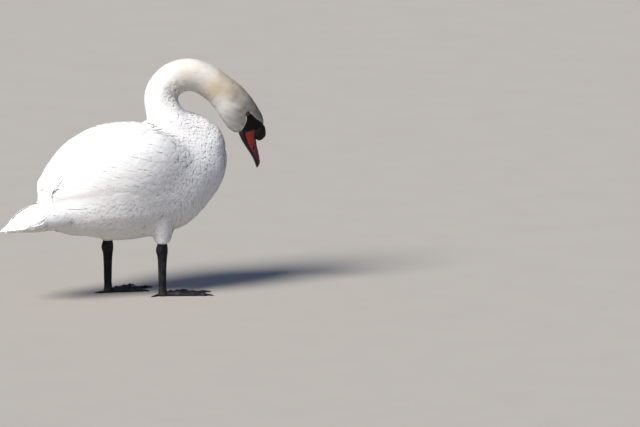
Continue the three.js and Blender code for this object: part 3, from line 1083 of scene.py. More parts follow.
@dataclass
class Bill:
    """The two halves of the bill and the knob on its base, sized in millimetres in the head's frame."""

    head: HeadFrame
    base: float = 40.0  # the sheath starts inside the face
    tip: float = 145.0
    rows: int = 150
    # Each curve holds x and then a height or a half width.
    top: tuple = ((40, 24), (46, 22), (66, 13.5), (88, 11), (110, 11.5), (128, 10.5), (139, 7.5), (145, 3.5))
    half: tuple = (
        (40, 16), (46, 17), (66, 16), (88, 15.2), (110, 15.8), (128, 15.2), (139, 11.5), (145, 4.5),
    )
    edge: tuple = (
        (40, -17), (50, -16.5), (66, -16), (86, -12.8), (105, -7), (125, -0.8), (139, 1.0), (145, 0.6),
    )
    low: tuple = ((42, -27), (46, -28), (66, -25), (88, -17.5), (106, -10.2), (124, -4.2), (139, -1.6))
    low_half: tuple = ((42, 13), (46, 14.3), (66, 13.8), (88, 13.2), (110, 13.4), (128, 12.2), (139, 8))
    ridge: tuple = ((46, 15.5), (60, 9.0), (74, 6.4), (84, 6.0), (90, 16.0))  # where the black ridge ends
    nostril: tuple = (94.0, 0.0)  # its middle, x and z
    nostril_half: tuple = (6.0, 1.7)
    nail_from: float = 126.0
    nail_half: float = 8.5
    lamella: float = 1.9  # from one tooth of the lower half's comb to the next
    knob_middle: tuple = (54.5, 0, 23.0)
    knob_half: tuple = (24.5, 13.6, 18.6)

    def upper(self) -> bpy.types.Object:
        """The upper half: at each x, an arch from cutting edge to cutting edge and a shallow vault under it.

        The arch is y = half cos(a), z = edge + (top - edge) sin(a)^q, with q falling towards the tip so
        that the bill grows flat and broad. The nostril is pressed in and the nail raised.

        Returns:
            The piece.
        """
        x = mix(self.base, self.tip, 1 - (1 - np.linspace(0, 1, self.rows)) ** 1.25)
        top, half, edge = (read(curve, x)[:, None] for curve in (self.top, self.half, self.edge))
        a = np.linspace(0, math.pi, 73)[None]
        q = mix(0.95, 0.75, ease(60, 120, x))[:, None]
        b = np.linspace(0, 1, 22)[None, 1:-1] * math.pi
        arch = stacked(x[:, None], half * np.cos(a), edge + (top - edge) * np.sin(a) ** q)
        vault = stacked(x[:, None], -half * np.cos(b) * 0.94, edge + 0.9 + 1.6 * np.sin(b))
        rings = np.concatenate([arch, vault], axis=1)
        rings += self.relief(rings)
        points, faces = closed_tube(rings)
        piece = new_piece("bill_upper_sheath", self.head.world(points), faces)
        note(piece, "black", self.blackness(points))
        note(piece, "tipward", ease(56, 128, points[:, 0]))
        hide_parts("bill_upper")
        dress(piece, BillHorn().material())
        return piece

    def from_nostril(self, x: Array, z: Array) -> tuple[Array, Array]:
        """How far x and z are from the nostril's middle, as shares of its half sizes."""
        return (x - self.nostril[0]) / self.nostril_half[0], (z - self.nostril[1]) / self.nostril_half[1]

    def relief(self, rings: Array) -> Array:
        """Small moves of the upper half's surface: nostrils in, nail out, a lip along the cutting edge.

        Args:
            rings: the surface's points in the head's frame.
        Returns:
            A move for each point.
        """
        x, y, z = np.moveaxis(rings, -1, 0)
        across, up = self.from_nostril(x, z)
        slot = np.exp(-((across**2 + (up - 0.25 * across) ** 2) ** 2) / 0.9) * (np.abs(y) > 3)
        rim = np.exp(-((np.hypot(across, up) - 1.5) ** 2) / 0.10) * (np.abs(y) > 3)
        above = z - read(self.edge, x)
        lip = bell(above - 1.2, 1.3) * 0.5
        flute = -0.5 * bell(above - 4.2, 1.6) * ease(60, 80, x)
        wide = self.nail_half * (1 - ease(self.nail_from + 6, self.nail_from - 3, x) ** 2)
        nail = ease(1.2, -0.4, np.abs(y) - wide) * ease(self.nail_from - 1, self.nail_from + 1.5, x)
        nail = nail * (above > 1)
        out = np.sign(y) * (lip + flute - 1.9 * slot + 0.35 * rim) * (above > -0.5)
        down = -1.4 * ease(134, 145, x) * (above < 6)
        return np.stack([0.6 * nail * ease(138, 145, x), out, 0.75 * nail + down], axis=-1)

    def blackness(self, points: Array) -> Array:
        """Over 0.5 on the base band, the cutting edges, the ridge down to the nostrils and the nail.

        Args:
            points: places in the head's frame.
        Returns:
            A number for each place.
        """
        x, y, z = points.T
        edge = read(self.edge, x)
        band = 50 - 0.13 * (z + 16.5) - x
        rim = mix(2.8, 3.4, ease(70, 110, x)) - (z - edge)
        ridge = np.minimum(z - read(self.ridge, x), 86 - x)
        across, up = self.from_nostril(x, z)
        slot = 1.4 * (1.05 - np.hypot(across, up / 1.1))
        nail = np.minimum(x - self.nail_from - 1, self.nail_half - np.abs(y))
        vault = np.where(z < edge + 2.8, 0.94 * read(self.half, x) - np.abs(y), -5)
        return np.clip(0.5 + np.maximum.reduce([band, rim, ridge, slot, nail, vault]) / 2.4, 0, 1)

    def lower(self) -> bpy.types.Object:
        """The lower half: a trough of two rami closed by a flat floor, with a comb of lamellae on its edge.

        At each x the section is y = half cos(a), z = edge - gap - (edge - low) sin(a)^q.

        Returns:
            The piece.
        """
        x = np.linspace(self.low[0][0], self.low[-1][0], self.rows)
        low, half, edge = (read(curve, x)[:, None] for curve in (self.low, self.low_half, self.edge))
        roof = edge + 0.4
        a = np.linspace(0, math.pi, 45)[None]
        q = mix(0.55, 0.8, ease(60, 130, x))[:, None]
        y, z = half * np.cos(a), roof - (roof - low) * np.sin(a) ** q
        lamellae = 0.28 * np.sin(FULL_TURN * x / self.lamella) * ease(56, 64, x)
        y = y + np.sign(y) * lamellae[:, None] * bell(roof - z - 1.6, 1.5)
        between_rami = 1.3 * ease(58, 70, x) * ease(132, 118, x)
        groove = between_rami[:, None] * bell(y, 2.4) * (z < roof - 3)
        lid_y = -np.cos(np.linspace(0, math.pi, 14))[None, 1:-1] * half * 0.97
        trough, lid = stacked(x[:, None], y, z + groove), stacked(x[:, None], lid_y, roof + 0.2)
        points, faces = closed_tube(np.concatenate([trough, lid], axis=1))
        piece = new_piece("bill_lower_sheath", self.head.world(points), faces)
        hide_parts("bill_lower")
        dress(piece, LOWER_BILL.material())
        return piece

    def knob(self) -> bpy.types.Object:
        """The fleshy knob: an egg on the bill's base with a faint middle furrow and a few soft lumps.

        A point at polar angle p from the egg's ends and turn t about them lies at radius 1 + lumps, scaled
        by the egg's half sizes.

        Returns:
            The piece.
        """
        p, t = ball_angles(60, 72)
        ball = stacked(np.cos(p), np.sin(p) * np.cos(t), np.sin(p) * np.sin(t))
        lumps = 0.035 * ripple(ball, 1.1, 3) + 0.012 * ripple(ball, 0.45, 4)
        furrow = -0.05 * bell(ball[..., 1], 0.16) * ease(0.1, 0.7, ball[..., 2])
        egg = ball * (1 + lumps + furrow)[..., None] * np.array(self.knob_half)
        egg[..., 1] *= mix(1.0, 0.82, ease(0, 20, egg[..., 2]))
        points, faces = closed_tube(egg + np.array(self.knob_middle))
        piece = new_piece("bill_knob_skin", self.head.world(points), faces)
        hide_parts("bill_knob")
        dress(piece, KNOB.material())
        return piece

    def build(self) -> None:
        """Makes the three pieces."""
        self.upper()
        self.lower()
        self.knob()


@dataclass
class Eye:
    """One eye: a wet ball deep in the face and two black lids that close its rim, in millimetres."""

    head: HeadFrame
    side: Side
    radius: float = 6.4
    cornea: float = 0.5  # how far it bulges
    spacing: float = 25.2  # of the ball's middle from the middle plane
    lid_radius: tuple = (5.0, 4.4)  # half the opening's ring, along and across the bill's line
    lid_thickness: float = 0.95
    lid_out: float = 4.55  # how far the lids' ring stands out from the ball's middle
    lid_corner: float = 1.1  # how far its corners are pulled out

    def placed(self, name: str, points: Array, faces: list[Array]) -> bpy.types.Object:
        """A piece from points in the eye's frame: along the bill, towards the crown, and out of the head.

        Args:
            name: its name without the side.
            points: its points in the eye's frame.
            faces: arrays of point numbers.
        Returns:
            The piece.
        """
        out = unit(np.array([0.16, self.side.value, 0.10]))
        ahead = unit(np.array([1.0, 0, 0]) - out[0] * out)
        axes = np.array([ahead, np.cross(out, ahead) * self.side.value, out])
        middle = np.array([0, self.side.value * self.spacing, 0])
        world = self.head.world(middle + points @ axes)
        return new_piece(f"{name}_{self.side.word}", world, outward(world, faces))

    def ball(self) -> bpy.types.Object:
        """A sphere with a bulging cornea, and the pupil marked round its axis.

        Returns:
            The piece.
        """
        p, t = ball_angles(48, 64)
        radius = self.radius + self.cornea * bell(p, 0.5)
        ring = stacked(np.sin(p) * np.cos(t), np.sin(p) * np.sin(t), np.cos(p)) * radius[..., None]
        points, faces = closed_tube(ring)
        piece = self.placed("eye_ball", points, faces)
        note(piece, "pupil", ease(3.2, 2.4, np.hypot(points[:, 0], points[:, 1])) * (points[:, 2] > 0))
        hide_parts(f"eye_{self.side.word}")
        dress(piece, WetEye().material())
        return piece

    def lids(self) -> bpy.types.Object:
        """A ring of skin round the ball: a torus drawn out to a point before and behind the eye.

        Its tube is flattened against the face, and its middle line is an oval with both corners pulled out
        by a fourth power of the cosine.

        Returns:
            The piece.
        """
        t, r = np.meshgrid(turns(72), turns(16), indexing="ij")
        corner = self.lid_corner * np.cos(t) ** 4 * np.sign(np.cos(t))
        wide, high = self.lid_radius
        tube = self.lid_thickness * (1 + 0.25 * (np.sin(t) > 0) * np.abs(np.sin(t)))
        out = self.lid_out - 0.5 * np.abs(np.cos(t)) ** 3
        centre = stacked(wide * np.cos(t) + corner, high * np.sin(t), out)
        ring = centre + unit(stacked(np.cos(t), np.sin(t), 0.0)) * (tube * 1.25 * np.cos(r))[..., None]
        ring[..., 2] += tube * 0.8 * np.sin(r)
        rows, columns = t.shape
        faces = grid_faces(rows + 1, columns, True) % (rows * columns)
        piece = self.placed("eye_lids", ring.reshape(-1, 3), [faces])
        dress(piece, LIDS.material())
        return piece

    def build(self) -> None:
        """Makes the ball and its lids."""
        self.ball()
        self.lids()


# ---------------------------------------------------------------- legs and feet


def leg_axis(side: Side) -> Array:
    """x and y of the upright line through the middle of a shank."""
    low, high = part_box(f"shank_{side.word}")
    return np.array([(low.x + high.x) / 2 + 0.5 * MM, (low.y + high.y) / 2])


@dataclass
class Leg:
    """A bare black shank and a webbed foot with its claws, in millimetres from the point under the ankle."""

    side: Side
    yaw: float  # degrees the foot is turned
    shank: tuple = (  # height, shift forwards, half fore and aft, half sideways
        (139, 0, 12, 9.5), (134, 0, 12.7, 10), (123, -1, 15.5, 11.5), (115, -1, 15.5, 11.5),
        (103, 0, 13, 9.8), (83, 0, 11.4, 8.5), (42, 0, 10.3, 7.9), (24, 0, 10, 8.4), (12, 0.5, 10.8, 9.8),
        (5, 1.5, 11.5, 11),
    )
    heel: tuple = (  # height, shift forwards, half fore and aft, half sideways
        (0, 3, 12, 11), (2, 2.7, 13.3, 12.2), (7, 1.95, 13, 12), (12, 1.2, 10.5, 9.8), (15, 0.75, 9.5, 9.0),
    )
    toes: tuple = ((124, 0), (117, 25), (93, -27))  # middle, outer and inner: length, degrees outwards
    toe_radius: float = 7.5
    claw: tuple = (15.0, 3.2)  # length and radius
    hind: tuple = (24.0, 20)  # length, degrees outwards from straight back
    hind_radius: float = 4.4
    hind_claw: tuple = (8.0, 1.9)
    hind_root: tuple = (-7.0, -3.0)  # forwards and outwards
    voxel: float = 1.3
    flat_under: float = 0.9  # what lies lower than this is laid on the floor

    def angle(self, degrees: float) -> float:
        """An angle outwards, in degrees, as one about +Z in radians."""
        return math.radians(degrees) * self.side.value

    def hind_angle(self) -> float:
        """The hind toe's angle about +Z in radians."""
        return math.pi - self.angle(self.hind[1])

    def place(self, local: Array) -> Array:
        """Points about the foot's own middle carried to the bird: turned by yaw, at the shank's node.

        Args:
            local: the points in millimetres.
        Returns:
            Places in metres.
        """
        x, y, z = np.moveaxis(np.asarray(local, float) * MM, -1, 0)
        x, y = turned(x, y, math.radians(self.yaw))
        middle_x, middle_y = leg_axis(self.side)
        return np.stack([middle_x + x, middle_y + y, z], axis=-1)

    def shank_rings(self) -> Array:
        """Oval rings down the shank: a ridge at the back for the tendon and shallow plates down the front.

        Each ring is x = shift + deep cos(a), y = wide sin(a); the plates add a saw of 0.42 mm over 4.5 mm.
        The shank doesn't turn with the foot, so its rings are turned back by yaw.

        Returns:
            Points (rings, points in a ring, 3).
        """
        stations = self.shank[::-1]
        z = np.linspace(stations[0][0], stations[-1][0], 190)
        shift, deep, wide = read(stations, z).T
        a = turns(48)[None]
        front = ease(0.2, 0.75, np.cos(a))
        plates = 0.42 * (1 - ((z[:, None] / 4.5) % 1) ** 2) * front
        tendon = 0.9 * bell(np.cos(a) + 1, 0.12) - 0.7 * bell(np.cos(a) + 0.62, 0.16)
        knuckle = 0.5 * ripple(stacked(z[:, None] / 9, np.cos(a), np.sin(a)), 2.2, 7)
        out = plates + tendon * ease(20, 40, z)[:, None] + knuckle * bell(z - 118, 12)[:, None]
        x, y = shift[:, None] + (deep[:, None] + out) * np.cos(a), (wide[:, None] + out) * np.sin(a)
        return stacked(*turned(x, y, -math.radians(self.yaw)), z[:, None])

    def toe_rings(self, length: float, angle: float, radius: float) -> Array:
        """A toe lying along its angle: flat under, round above, swollen at its joints and pads.

        Args:
            length: its length.
            angle: its angle about +Z in radians.
            radius: half its width at the root.
        Returns:
            Points (rings, points in a ring, 3).
        """
        u = np.linspace(0, 1, 70)
        joints = sum(bell(u - at, 0.045) for at in (0.36, 0.68, 0.93))
        half = radius * (mix(1.0, 0.5, u) + 0.17 * joints) * (1 - 0.9 * ease(0.95, 1.0, u))
        a = turns(28)[None]
        creases = 0.25 * np.sin(FULL_TURN * u * length / 3.6)[:, None] * ease(0.3, 0.9, np.sin(a))
        z = np.where(np.sin(a) > 0, 1.28, 0.25) * half[:, None] * np.sin(a) + creases
        z = z + (0.25 * half)[:, None]
        return stacked(*turned((u * length)[:, None], half[:, None] * np.cos(a), angle), np.maximum(z, 0))

    def web(self, first: tuple, second: tuple) -> Shape:
        """The web between two toes: a fan whose front edge hollows between their tips, with slack folds.

        A point at share s of the way round the fan and share r of the way out lies at r times the edge; the
        top is about 2.4 mm high between the toes and higher beside them, and folds run out from the foot.

        Args:
            first: one toe's length and angle.
            second: the next toe's.
        Returns:
            Its points and faces.
        """
        s, r = np.meshgrid(np.linspace(0, 1, 61), np.linspace(0.04, 1, 70), indexing="ij")
        angle = mix(first[1], second[1], s)
        reach = mix(first[0], second[0], s) * (0.955 - 0.20 * (4 * s * (1 - s)) ** 0.8) * r
        wave = np.sin(FULL_TURN * (s * 4.0 + 0.1 * np.sin(9 * r)))
        folds = 0.3 * wave * np.sin(math.pi * s) * ease(0.15, 0.6, r)
        top = 2.4 + 2.3 * (1 - 4 * s * (1 - s)) ** 3 + folds - 0.4 * ease(0.9, 1.0, r)
        x, y = reach * np.cos(angle), reach * np.sin(angle)
        upper, lower = stacked(x, y, np.maximum(top, 1.0)), stacked(x, y, 0.0)
        return closed_tube(np.concatenate([upper, lower[:, ::-1]], axis=1))

    def foot(self) -> bpy.types.Object:
        """Shank, toes, webs and the pad under the ankle as one skin, flat on the floor.

        Returns:
            The piece.
        """
        fan = [(length, self.angle(degrees)) for length, degrees in self.toes]
        middle, outer, inner = fan
        shapes = [closed_tube(self.toe_rings(length, angle, self.toe_radius)) for length, angle in fan]
        shapes += [self.web(middle, outer), self.web(inner, middle)]
        forwards, outwards = self.hind_root
        hind = self.toe_rings(self.hind[0], self.hind_angle(), self.hind_radius)
        shapes.append(closed_tube(hind + np.array([forwards, outwards * self.side.value, 0])))
        height, shift, deep, wide = np.array(self.heel, float).T[..., None]
        a = turns(32)
        shapes.append(closed_tube(stacked(shift + deep * np.cos(a), wide * np.sin(a), height)))
        shapes.append(closed_tube(self.shank_rings()))
        points, faces = joined(shapes)
        piece = remeshed(f"leg_skin_{self.side.word}", (self.place(points), faces), self.voxel * MM)
        moved = smoothed(piece.data, points_of(piece.data), 3, 0.5)
        moved[:, 2] = np.where(moved[:, 2] < self.flat_under * MM, 0.0, moved[:, 2])
        set_points(piece, moved)
        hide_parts(f"shank_{self.side.word}", f"foot_{self.side.word}")
        dress(piece, BlackSkin().material())
        return piece

    def claws(self) -> bpy.types.Object:
        """Four short blunt claws: horns whose rings shrink along an arc down to the floor.

        Returns:
            The piece.
        """
        toes = [(length, self.angle(degrees), self.claw, (0.0, 0.0)) for length, degrees in self.toes]
        toes.append((self.hind[0], self.hind_angle(), self.hind_claw, self.hind_root))
        u = np.linspace(0, 1, 28)
        a = turns(24)[None]
        shapes = []
        for length, angle, (reach, radius), (forwards, outwards) in toes:
            half = radius * np.sqrt(np.maximum(1 - u**1.7, 0.003))
            along = length - 4 + (reach + 3.5) * u
            rise = np.maximum(mix(1.15 * radius, 0.25 * radius, u**1.6), half * 0.75)
            x = along[:, None] - 0.25 * half[:, None] * np.sin(a)
            y, z = half[:, None] * 0.8 * np.cos(a), rise[:, None] + half[:, None] * 0.75 * np.sin(a)
            x, y = turned(x, y, angle)
            shapes.append(closed_tube(stacked(x + forwards, y + outwards * self.side.value, z)))
        points, faces = joined(shapes)
        piece = new_piece(f"claws_{self.side.word}", self.place(points), faces)
        dress(piece, CLAWS.material())
        return piece

    def build(self) -> None:
        """Makes the leg's skin and its claws."""
        self.foot()
        self.claws()


# ---------------------------------------------------------------- coat


@dataclass(frozen=True)
class Vane:
    """The shape of one kind of feather and how finely it is cut."""

    rows: int = 5  # points from root to tip
    columns: int = 4  # points across
    root: float = 0.45  # width at the root, as a share of the full width
    full: float = 0.45  # share of the length by which the vane is full width
    taper: float = 0.10  # how much narrower the tip is
    corner: float = 0.26  # how far the corners of the tip stand back, as a share of the length
    arch: float = 0.07  # how far the edges hang under the shaft, as a share of the width
    bend: float = 1.0  # how far a step may bend to the skin, as a share of the step
    wraps: bool = False  # whether each point of the vane, and not only the shaft, follows the skin

    def template(self) -> tuple[Array, Array, list[Array]]:
        """The vane's grid.

        Returns:
            For each point its share of the length, 0 to 1, and of the half width, -1 to 1; and the faces of
            the closed vane: the grid, a flat strip under it, and a face across each end.
        """
        t, c = np.meshgrid(np.linspace(0, 1, self.rows), np.linspace(-1, 1, self.columns), indexing="ij")
        over = grid_faces(self.rows, self.columns, False)[:, ::-1]
        left = np.arange(self.rows - 1) * self.columns
        right = left + self.columns - 1
        under = np.stack([left, right, right + self.columns, left + self.columns], axis=1)
        root = np.arange(self.columns)[None]
        tip = self.rows * self.columns - 1 - root
        return t.ravel(), c.ravel(), [over, under, root, tip]


@dataclass
class Feathers:
    """Where and how large a lot of feathers are: a row or a number for each, in metres."""

    roots: Array
    headings: Array
    lengths: Array
    widths: Array
    bases: Array  # height of the root over the skin
    rises: Array  # how much higher the tip is
    rolls: Array  # slope of the vane across its shaft

    def some(self, chosen: Array) -> "Feathers":
        """The chosen feathers."""
        return Feathers(*(getattr(self, field.name)[chosen] for field in fields(self)))


class Coat:
    """All the feathers over the skin. Places are in metres, and sizes in the tables in millimetres.

    Small feathers stand on roots scattered over the skin. The wing's and the tail's long ones stand in rows.
    """

    SEED = 11
    TRIES = 5  # scattered points for each root that is kept
    CLASS_STEP = 1.15  # ratio between the sizes of cells in which one root is kept
    # Each size is spacing, length and width. The neck's and head's go by the distance along the spine.
    NECK_SIZES = (
        (0.05, 5.6, 25, 10.5), (0.13, 4.8, 19, 8.2), (0.20, 4.0, 15, 6.6), (0.30, 3.5, 13, 5.8),
        (0.40, 2.8, 10, 4.6), (0.44, 2.2, 7.0, 3.4), (0.47, 1.9, 5.0, 2.6), (0.51, 1.6, 3.6, 2.1),
    )
    FLANK_SIZE = (6.4, 31, 12)
    BREAST_SIZE = (5.6, 25, 10)
    MANTLE_SIZE = (8.2, 44, 18)
    RUMP_SIZE = (10, 58, 24)
    THIGH_SIZE = (4.2, 14, 6.5)
    TAIL_SIZE = (7.6, 46, 17)
    # The wing's coverts grow from its front edge back: x, then the three sizes.
    WING_SIZES = (
        (-0.10, 15, 84, 35), (-0.03, 13.5, 68, 30), (0.04, 11, 48, 24), (0.09, 8.6, 33, 18),
        (0.13, 7, 26, 14),
    )
    NECK_BEND = (0.136, -0.03, 0.532)  # the hollow where the bent neck's feathers ruffle most
    EYE_CLEAR = 7.2 * MM  # no feather is rooted nearer to the eye's middle, 29 mm out
    LORE_CLEAR = 0.35  # nor where the lores' mark is over this
    TAIL_END = -0.262  # x behind which only the tail's own feathers stand
    UNDER_ROWS_DEPTH = 0.4  # the coat's depth under the wing's long feathers, as a share
    THIGH_TOP = (0.185, 0.150)  # heights between which the thigh begins
    THIGH_REACH = (0.055, 0.035)  # distances from the leg's axis between which it begins
    # Where pieces meet: x of the tail's and the breast's, z of the back's, the arch's distance up the spine.
    TAIL_AT, BREAST_AT, BACK_AT, ARCH_AT = -0.175, 0.12, 0.33, 0.26
    PATCH = 0.003  # size of each feather's patch in the bake map

    def __init__(self, skin: bpy.types.Object, shape: Skin) -> None:
        """Keeps the skin, the depths of its coat and one source of chance.

        Args:
            skin: the skin's object.
            shape: its measures and markings.
        """
        self.surface, self.shape = Surface(skin), shape
        self.markings, self.spine = shape.markings, shape.markings.spine
        self.chance = np.random.default_rng(self.SEED)
        self.material = Plumage().material()
        self.legs = [leg_axis(side) for side in Side]

    # ------------------------------------------------ where feathers stand and how they lie

    def near_leg(self, points: Array) -> Array:
        """1 on the feathered thighs and 0 elsewhere."""
        apart = np.min([np.linalg.norm(points[:, :2] - leg, axis=1) for leg in self.legs], axis=0)
        return ease(*self.THIGH_TOP, points[:, 2]) * ease(*self.THIGH_REACH, apart)

    def sizes(self, points: Array, wing: Array) -> Array:
        """Spacing, length and width of the small feathers at these points, in metres.

        Args:
            points: places in metres, one row each.
            wing: each place's share of wing.
        Returns:
            Three numbers for each place.
        """
        x, _, z = points.T
        along, _, _ = self.spine.place(points)
        size = mix(np.array(self.FLANK_SIZE, float), np.array(self.BREAST_SIZE), ease(0.09, 0.19, x)[:, None])
        for other, share in (
            (self.MANTLE_SIZE, ease(0.37, 0.41, z) * ease(0.10, 0.05, x)),
            (self.RUMP_SIZE, ease(0.34, 0.38, z) * ease(0.0, -0.08, x)),
            (self.TAIL_SIZE, ease(-0.15, -0.20, x)),
            (read(self.WING_SIZES, x), wing * ease(0.245, 0.275, z)),
            (self.THIGH_SIZE, self.near_leg(points)),
            (read(self.NECK_SIZES, along), self.markings.neck_share(points)),
        ):
            size = mix(size, np.array(other, float), share[:, None])
        return size * MM

    def lie(self, points: Array) -> Array:
        """The way the feathers point: down the neck, down the breast, and then back and a little down.

        On the thighs they point down, and round the eyes they part.

        Args:
            points: places in metres, one row each.
        Returns:
            A unit direction for each place.
        """
        x, _, z = points.T
        _, _, nearest = self.spine.place(points)
        low = ease(0.29, 0.22, z) * ease(-0.22, -0.12, x)
        way = unit(mix(np.array([-1.0, 0, -0.22]), np.array([-1.0, 0, -0.55]), low[:, None]))
        for other, share in (
            (np.array([-0.3, 0, -1.0]), ease(0.085, 0.145, x)),
            (-self.spine.tangents[nearest], self.markings.neck_share(points)),
            (np.array([-0.2, 0, -1.0]), self.near_leg(points)),
        ):
            way = mix(way, other, share[:, None])
        for side in Side:
            apart = points - self.markings.head.world((0, side.value * 27, 0))
            way = way + 0.9 * bell(np.linalg.norm(apart, axis=1), 0.013)[:, None] * unit(apart)
        return unit(way)

    def clumps(self, points: Array) -> Array:
        """How strongly neighbours bunch: most on the breast, in the neck's bend and low on the flanks.

        Args:
            points: places in metres, one row each.
        Returns:
            A number for each place.
        """
        x, _, z = points.T
        along, _, _ = self.spine.place(points)
        bend = 2.8 * bell(np.linalg.norm(points - np.array(self.NECK_BEND), axis=1), 0.034)
        breast = 0.3 * ease(0.10, 0.17, x) * ease(0.20, 0.26, z) * (1 - ease(0.06, 0.12, along))
        flank = 0.55 * ease(0.20, 0.25, z) * ease(0.33, 0.29, z) * ease(-0.10, 0.02, x)
        return 0.15 + 0.85 * np.maximum.reduce([bend, breast, flank])

    def roots(self) -> tuple[Array, Array, Array]:
        """The small feathers' roots.

        Points are scattered over the skin more thickly where feathers are small, and one is kept in each cell
        of a grid as wide as the feathers' spacing there.

        Returns:
            For each root its place, its spacing, length and width, and its share of wing.
        """
        mesh = self.surface.target.data
        places, (lore, wing) = points_of(mesh), (numbers_of(mesh, name) for name in ("lore", "wing"))
        triangles = triangles_of(mesh)
        a, b, c = (places[triangles[:, k]] for k in range(3))
        area = np.linalg.norm(np.cross(b - a, c - a), axis=1) / 2
        spacing = self.sizes((a + b + c) / 3, wing[triangles].mean(axis=1))[:, 0]
        total = np.cumsum(area / spacing**2)
        count = int(total[-1] * self.TRIES)
        chosen = np.minimum(np.searchsorted(total, self.chance.uniform(0, total[-1], count)), len(total) - 1)
        u, v = self.chance.uniform(size=(2, count))
        u, v = np.where(u + v > 1, (1 - u, 1 - v), (u, v))
        weights = stacked(1 - u - v, u, v)
        corners = triangles[chosen]
        points = (places[corners] * weights[..., None]).sum(axis=1)
        lore, wing = ((values[corners] * weights).sum(axis=1) for values in (lore, wing))
        size = self.sizes(points, wing)
        kind = np.round(np.log(size[:, 0] / MM) / math.log(self.CLASS_STEP))
        cell = np.floor(points / (self.CLASS_STEP**kind * MM)[:, None])
        _, first = np.unique(np.column_stack([kind, cell]), axis=0, return_index=True)
        eyes = [self.markings.head.world((0, side.value * 29, 0)) for side in Side]
        to_eye = np.min([np.linalg.norm(points[first] - eye, axis=1) for eye in eyes], axis=0)
        free = (lore[first] < self.LORE_CLEAR) & (to_eye > self.EYE_CLEAR)
        kept = first[free & self.clear(points[first], wing[first])]
        return points[kept], size[kept], wing[kept]

    def scattered(self) -> tuple[Feathers, Array]:
        """The small feathers over the whole bird.

        Returns:
            The feathers, and for each its share of wing.
        """
        points, size, wing = self.roots()
        number = len(points)
        bunch = self.clumps(points)
        clump_turn, clump_lift = (
            ripple(points / size[:, :1] * 0.01, wavelength, seed) * bunch
            for wavelength, seed in ((0.035, 21), (0.028, 22))
        )
        turn = 0.36 * clump_turn + self.chance.normal(0, 0.07, number)
        heading = self.lie(points)
        _, normal = self.surface.nearest(points)
        heading = unit(heading + np.tan(np.clip(turn, -0.9, 0.9))[:, None] * np.cross(normal, heading))
        depth = self.shape.depth(points + 0.9 * heading * size[:, 1:2])
        depth = np.where(self.under_rows(points, wing), self.UNDER_ROWS_DEPTH * depth, depth)
        vary = self.chance.uniform(0.86, 1.16, (3, number))
        on_wing = 0.04 * wing * np.sign(points[:, 1])
        return Feathers(
            roots=points,
            headings=heading,
            lengths=size[:, 1] * vary[0],
            widths=size[:, 2] * vary[1],
            bases=np.full(number, -0.15 * MM),
            rises=depth * (0.94 + 0.10 * (vary[2] - 1) + 0.13 * clump_lift),
            rolls=self.chance.normal(0, 0.02, number) + 0.05 * clump_turn - on_wing,
        ), wing

    def under_rows(self, points: Array, wing: Array) -> Array:
        """Where the wing's long feathers lie over the skin.

        Args:
            points: places in metres, one row each.
            wing: each place's share of wing.
        Returns:
            True or false for each place.
        """
        x, y, z = points.T
        beside = (np.abs(y) > WingRows.OFF_MIDDLE) & (z > WingRows.LOWEST)
        return (wing > 0.5) & (x < WingRows.COVERTS_END) & beside

    def clear(self, points: Array, wing: Array) -> Array:
        """Where small feathers may stand.

        Not on the tail's end, nor under the wing's long feathers, but under those feathers' tips.
        """
        x = points[:, 0]
        return (~self.under_rows(points, wing) | (x < WingRows.UNDER_TIPS)) & (x > self.TAIL_END)

    # ------------------------------------------------ laying feathers on the skin

    def lines(self, lot: Feathers, steps: int, bend: float) -> tuple[Array, Array]:
        """The shafts, laid over the skin from the roots.

        Each step goes straight on and is then drawn to the skin, by no more than `bend` of its length, so
        that a stiff feather leaves the skin where the skin curves away.

        Args:
            lot: the feathers.
            steps: steps from root to tip.
            bend: how far a step may bend.
        Returns:
            Places and skin normals, (feathers, steps + 1, 3).
        """
        here, normal = self.surface.nearest(lot.roots)
        aim = unit(lot.headings - (lot.headings * normal).sum(axis=1, keepdims=True) * normal)
        step = (lot.lengths / steps)[:, None]
        places, normals = [here], [normal]
        for _ in range(steps):
            ahead = here + aim * step
            on, normal = self.surface.nearest(ahead)
            there = ahead + self.held(on - ahead, bend * step)
            aim, here = unit(there - here), there
            places.append(here)
            normals.append(normal)
        return np.stack(places, axis=1), np.stack(normals, axis=1)

    @staticmethod
    def held(moves: Array, limit: Array) -> Array:
        """Moves made no longer than the limit."""
        reach = np.linalg.norm(moves, axis=-1, keepdims=True)
        return moves * np.minimum(1, limit / np.maximum(reach, 1e-9))

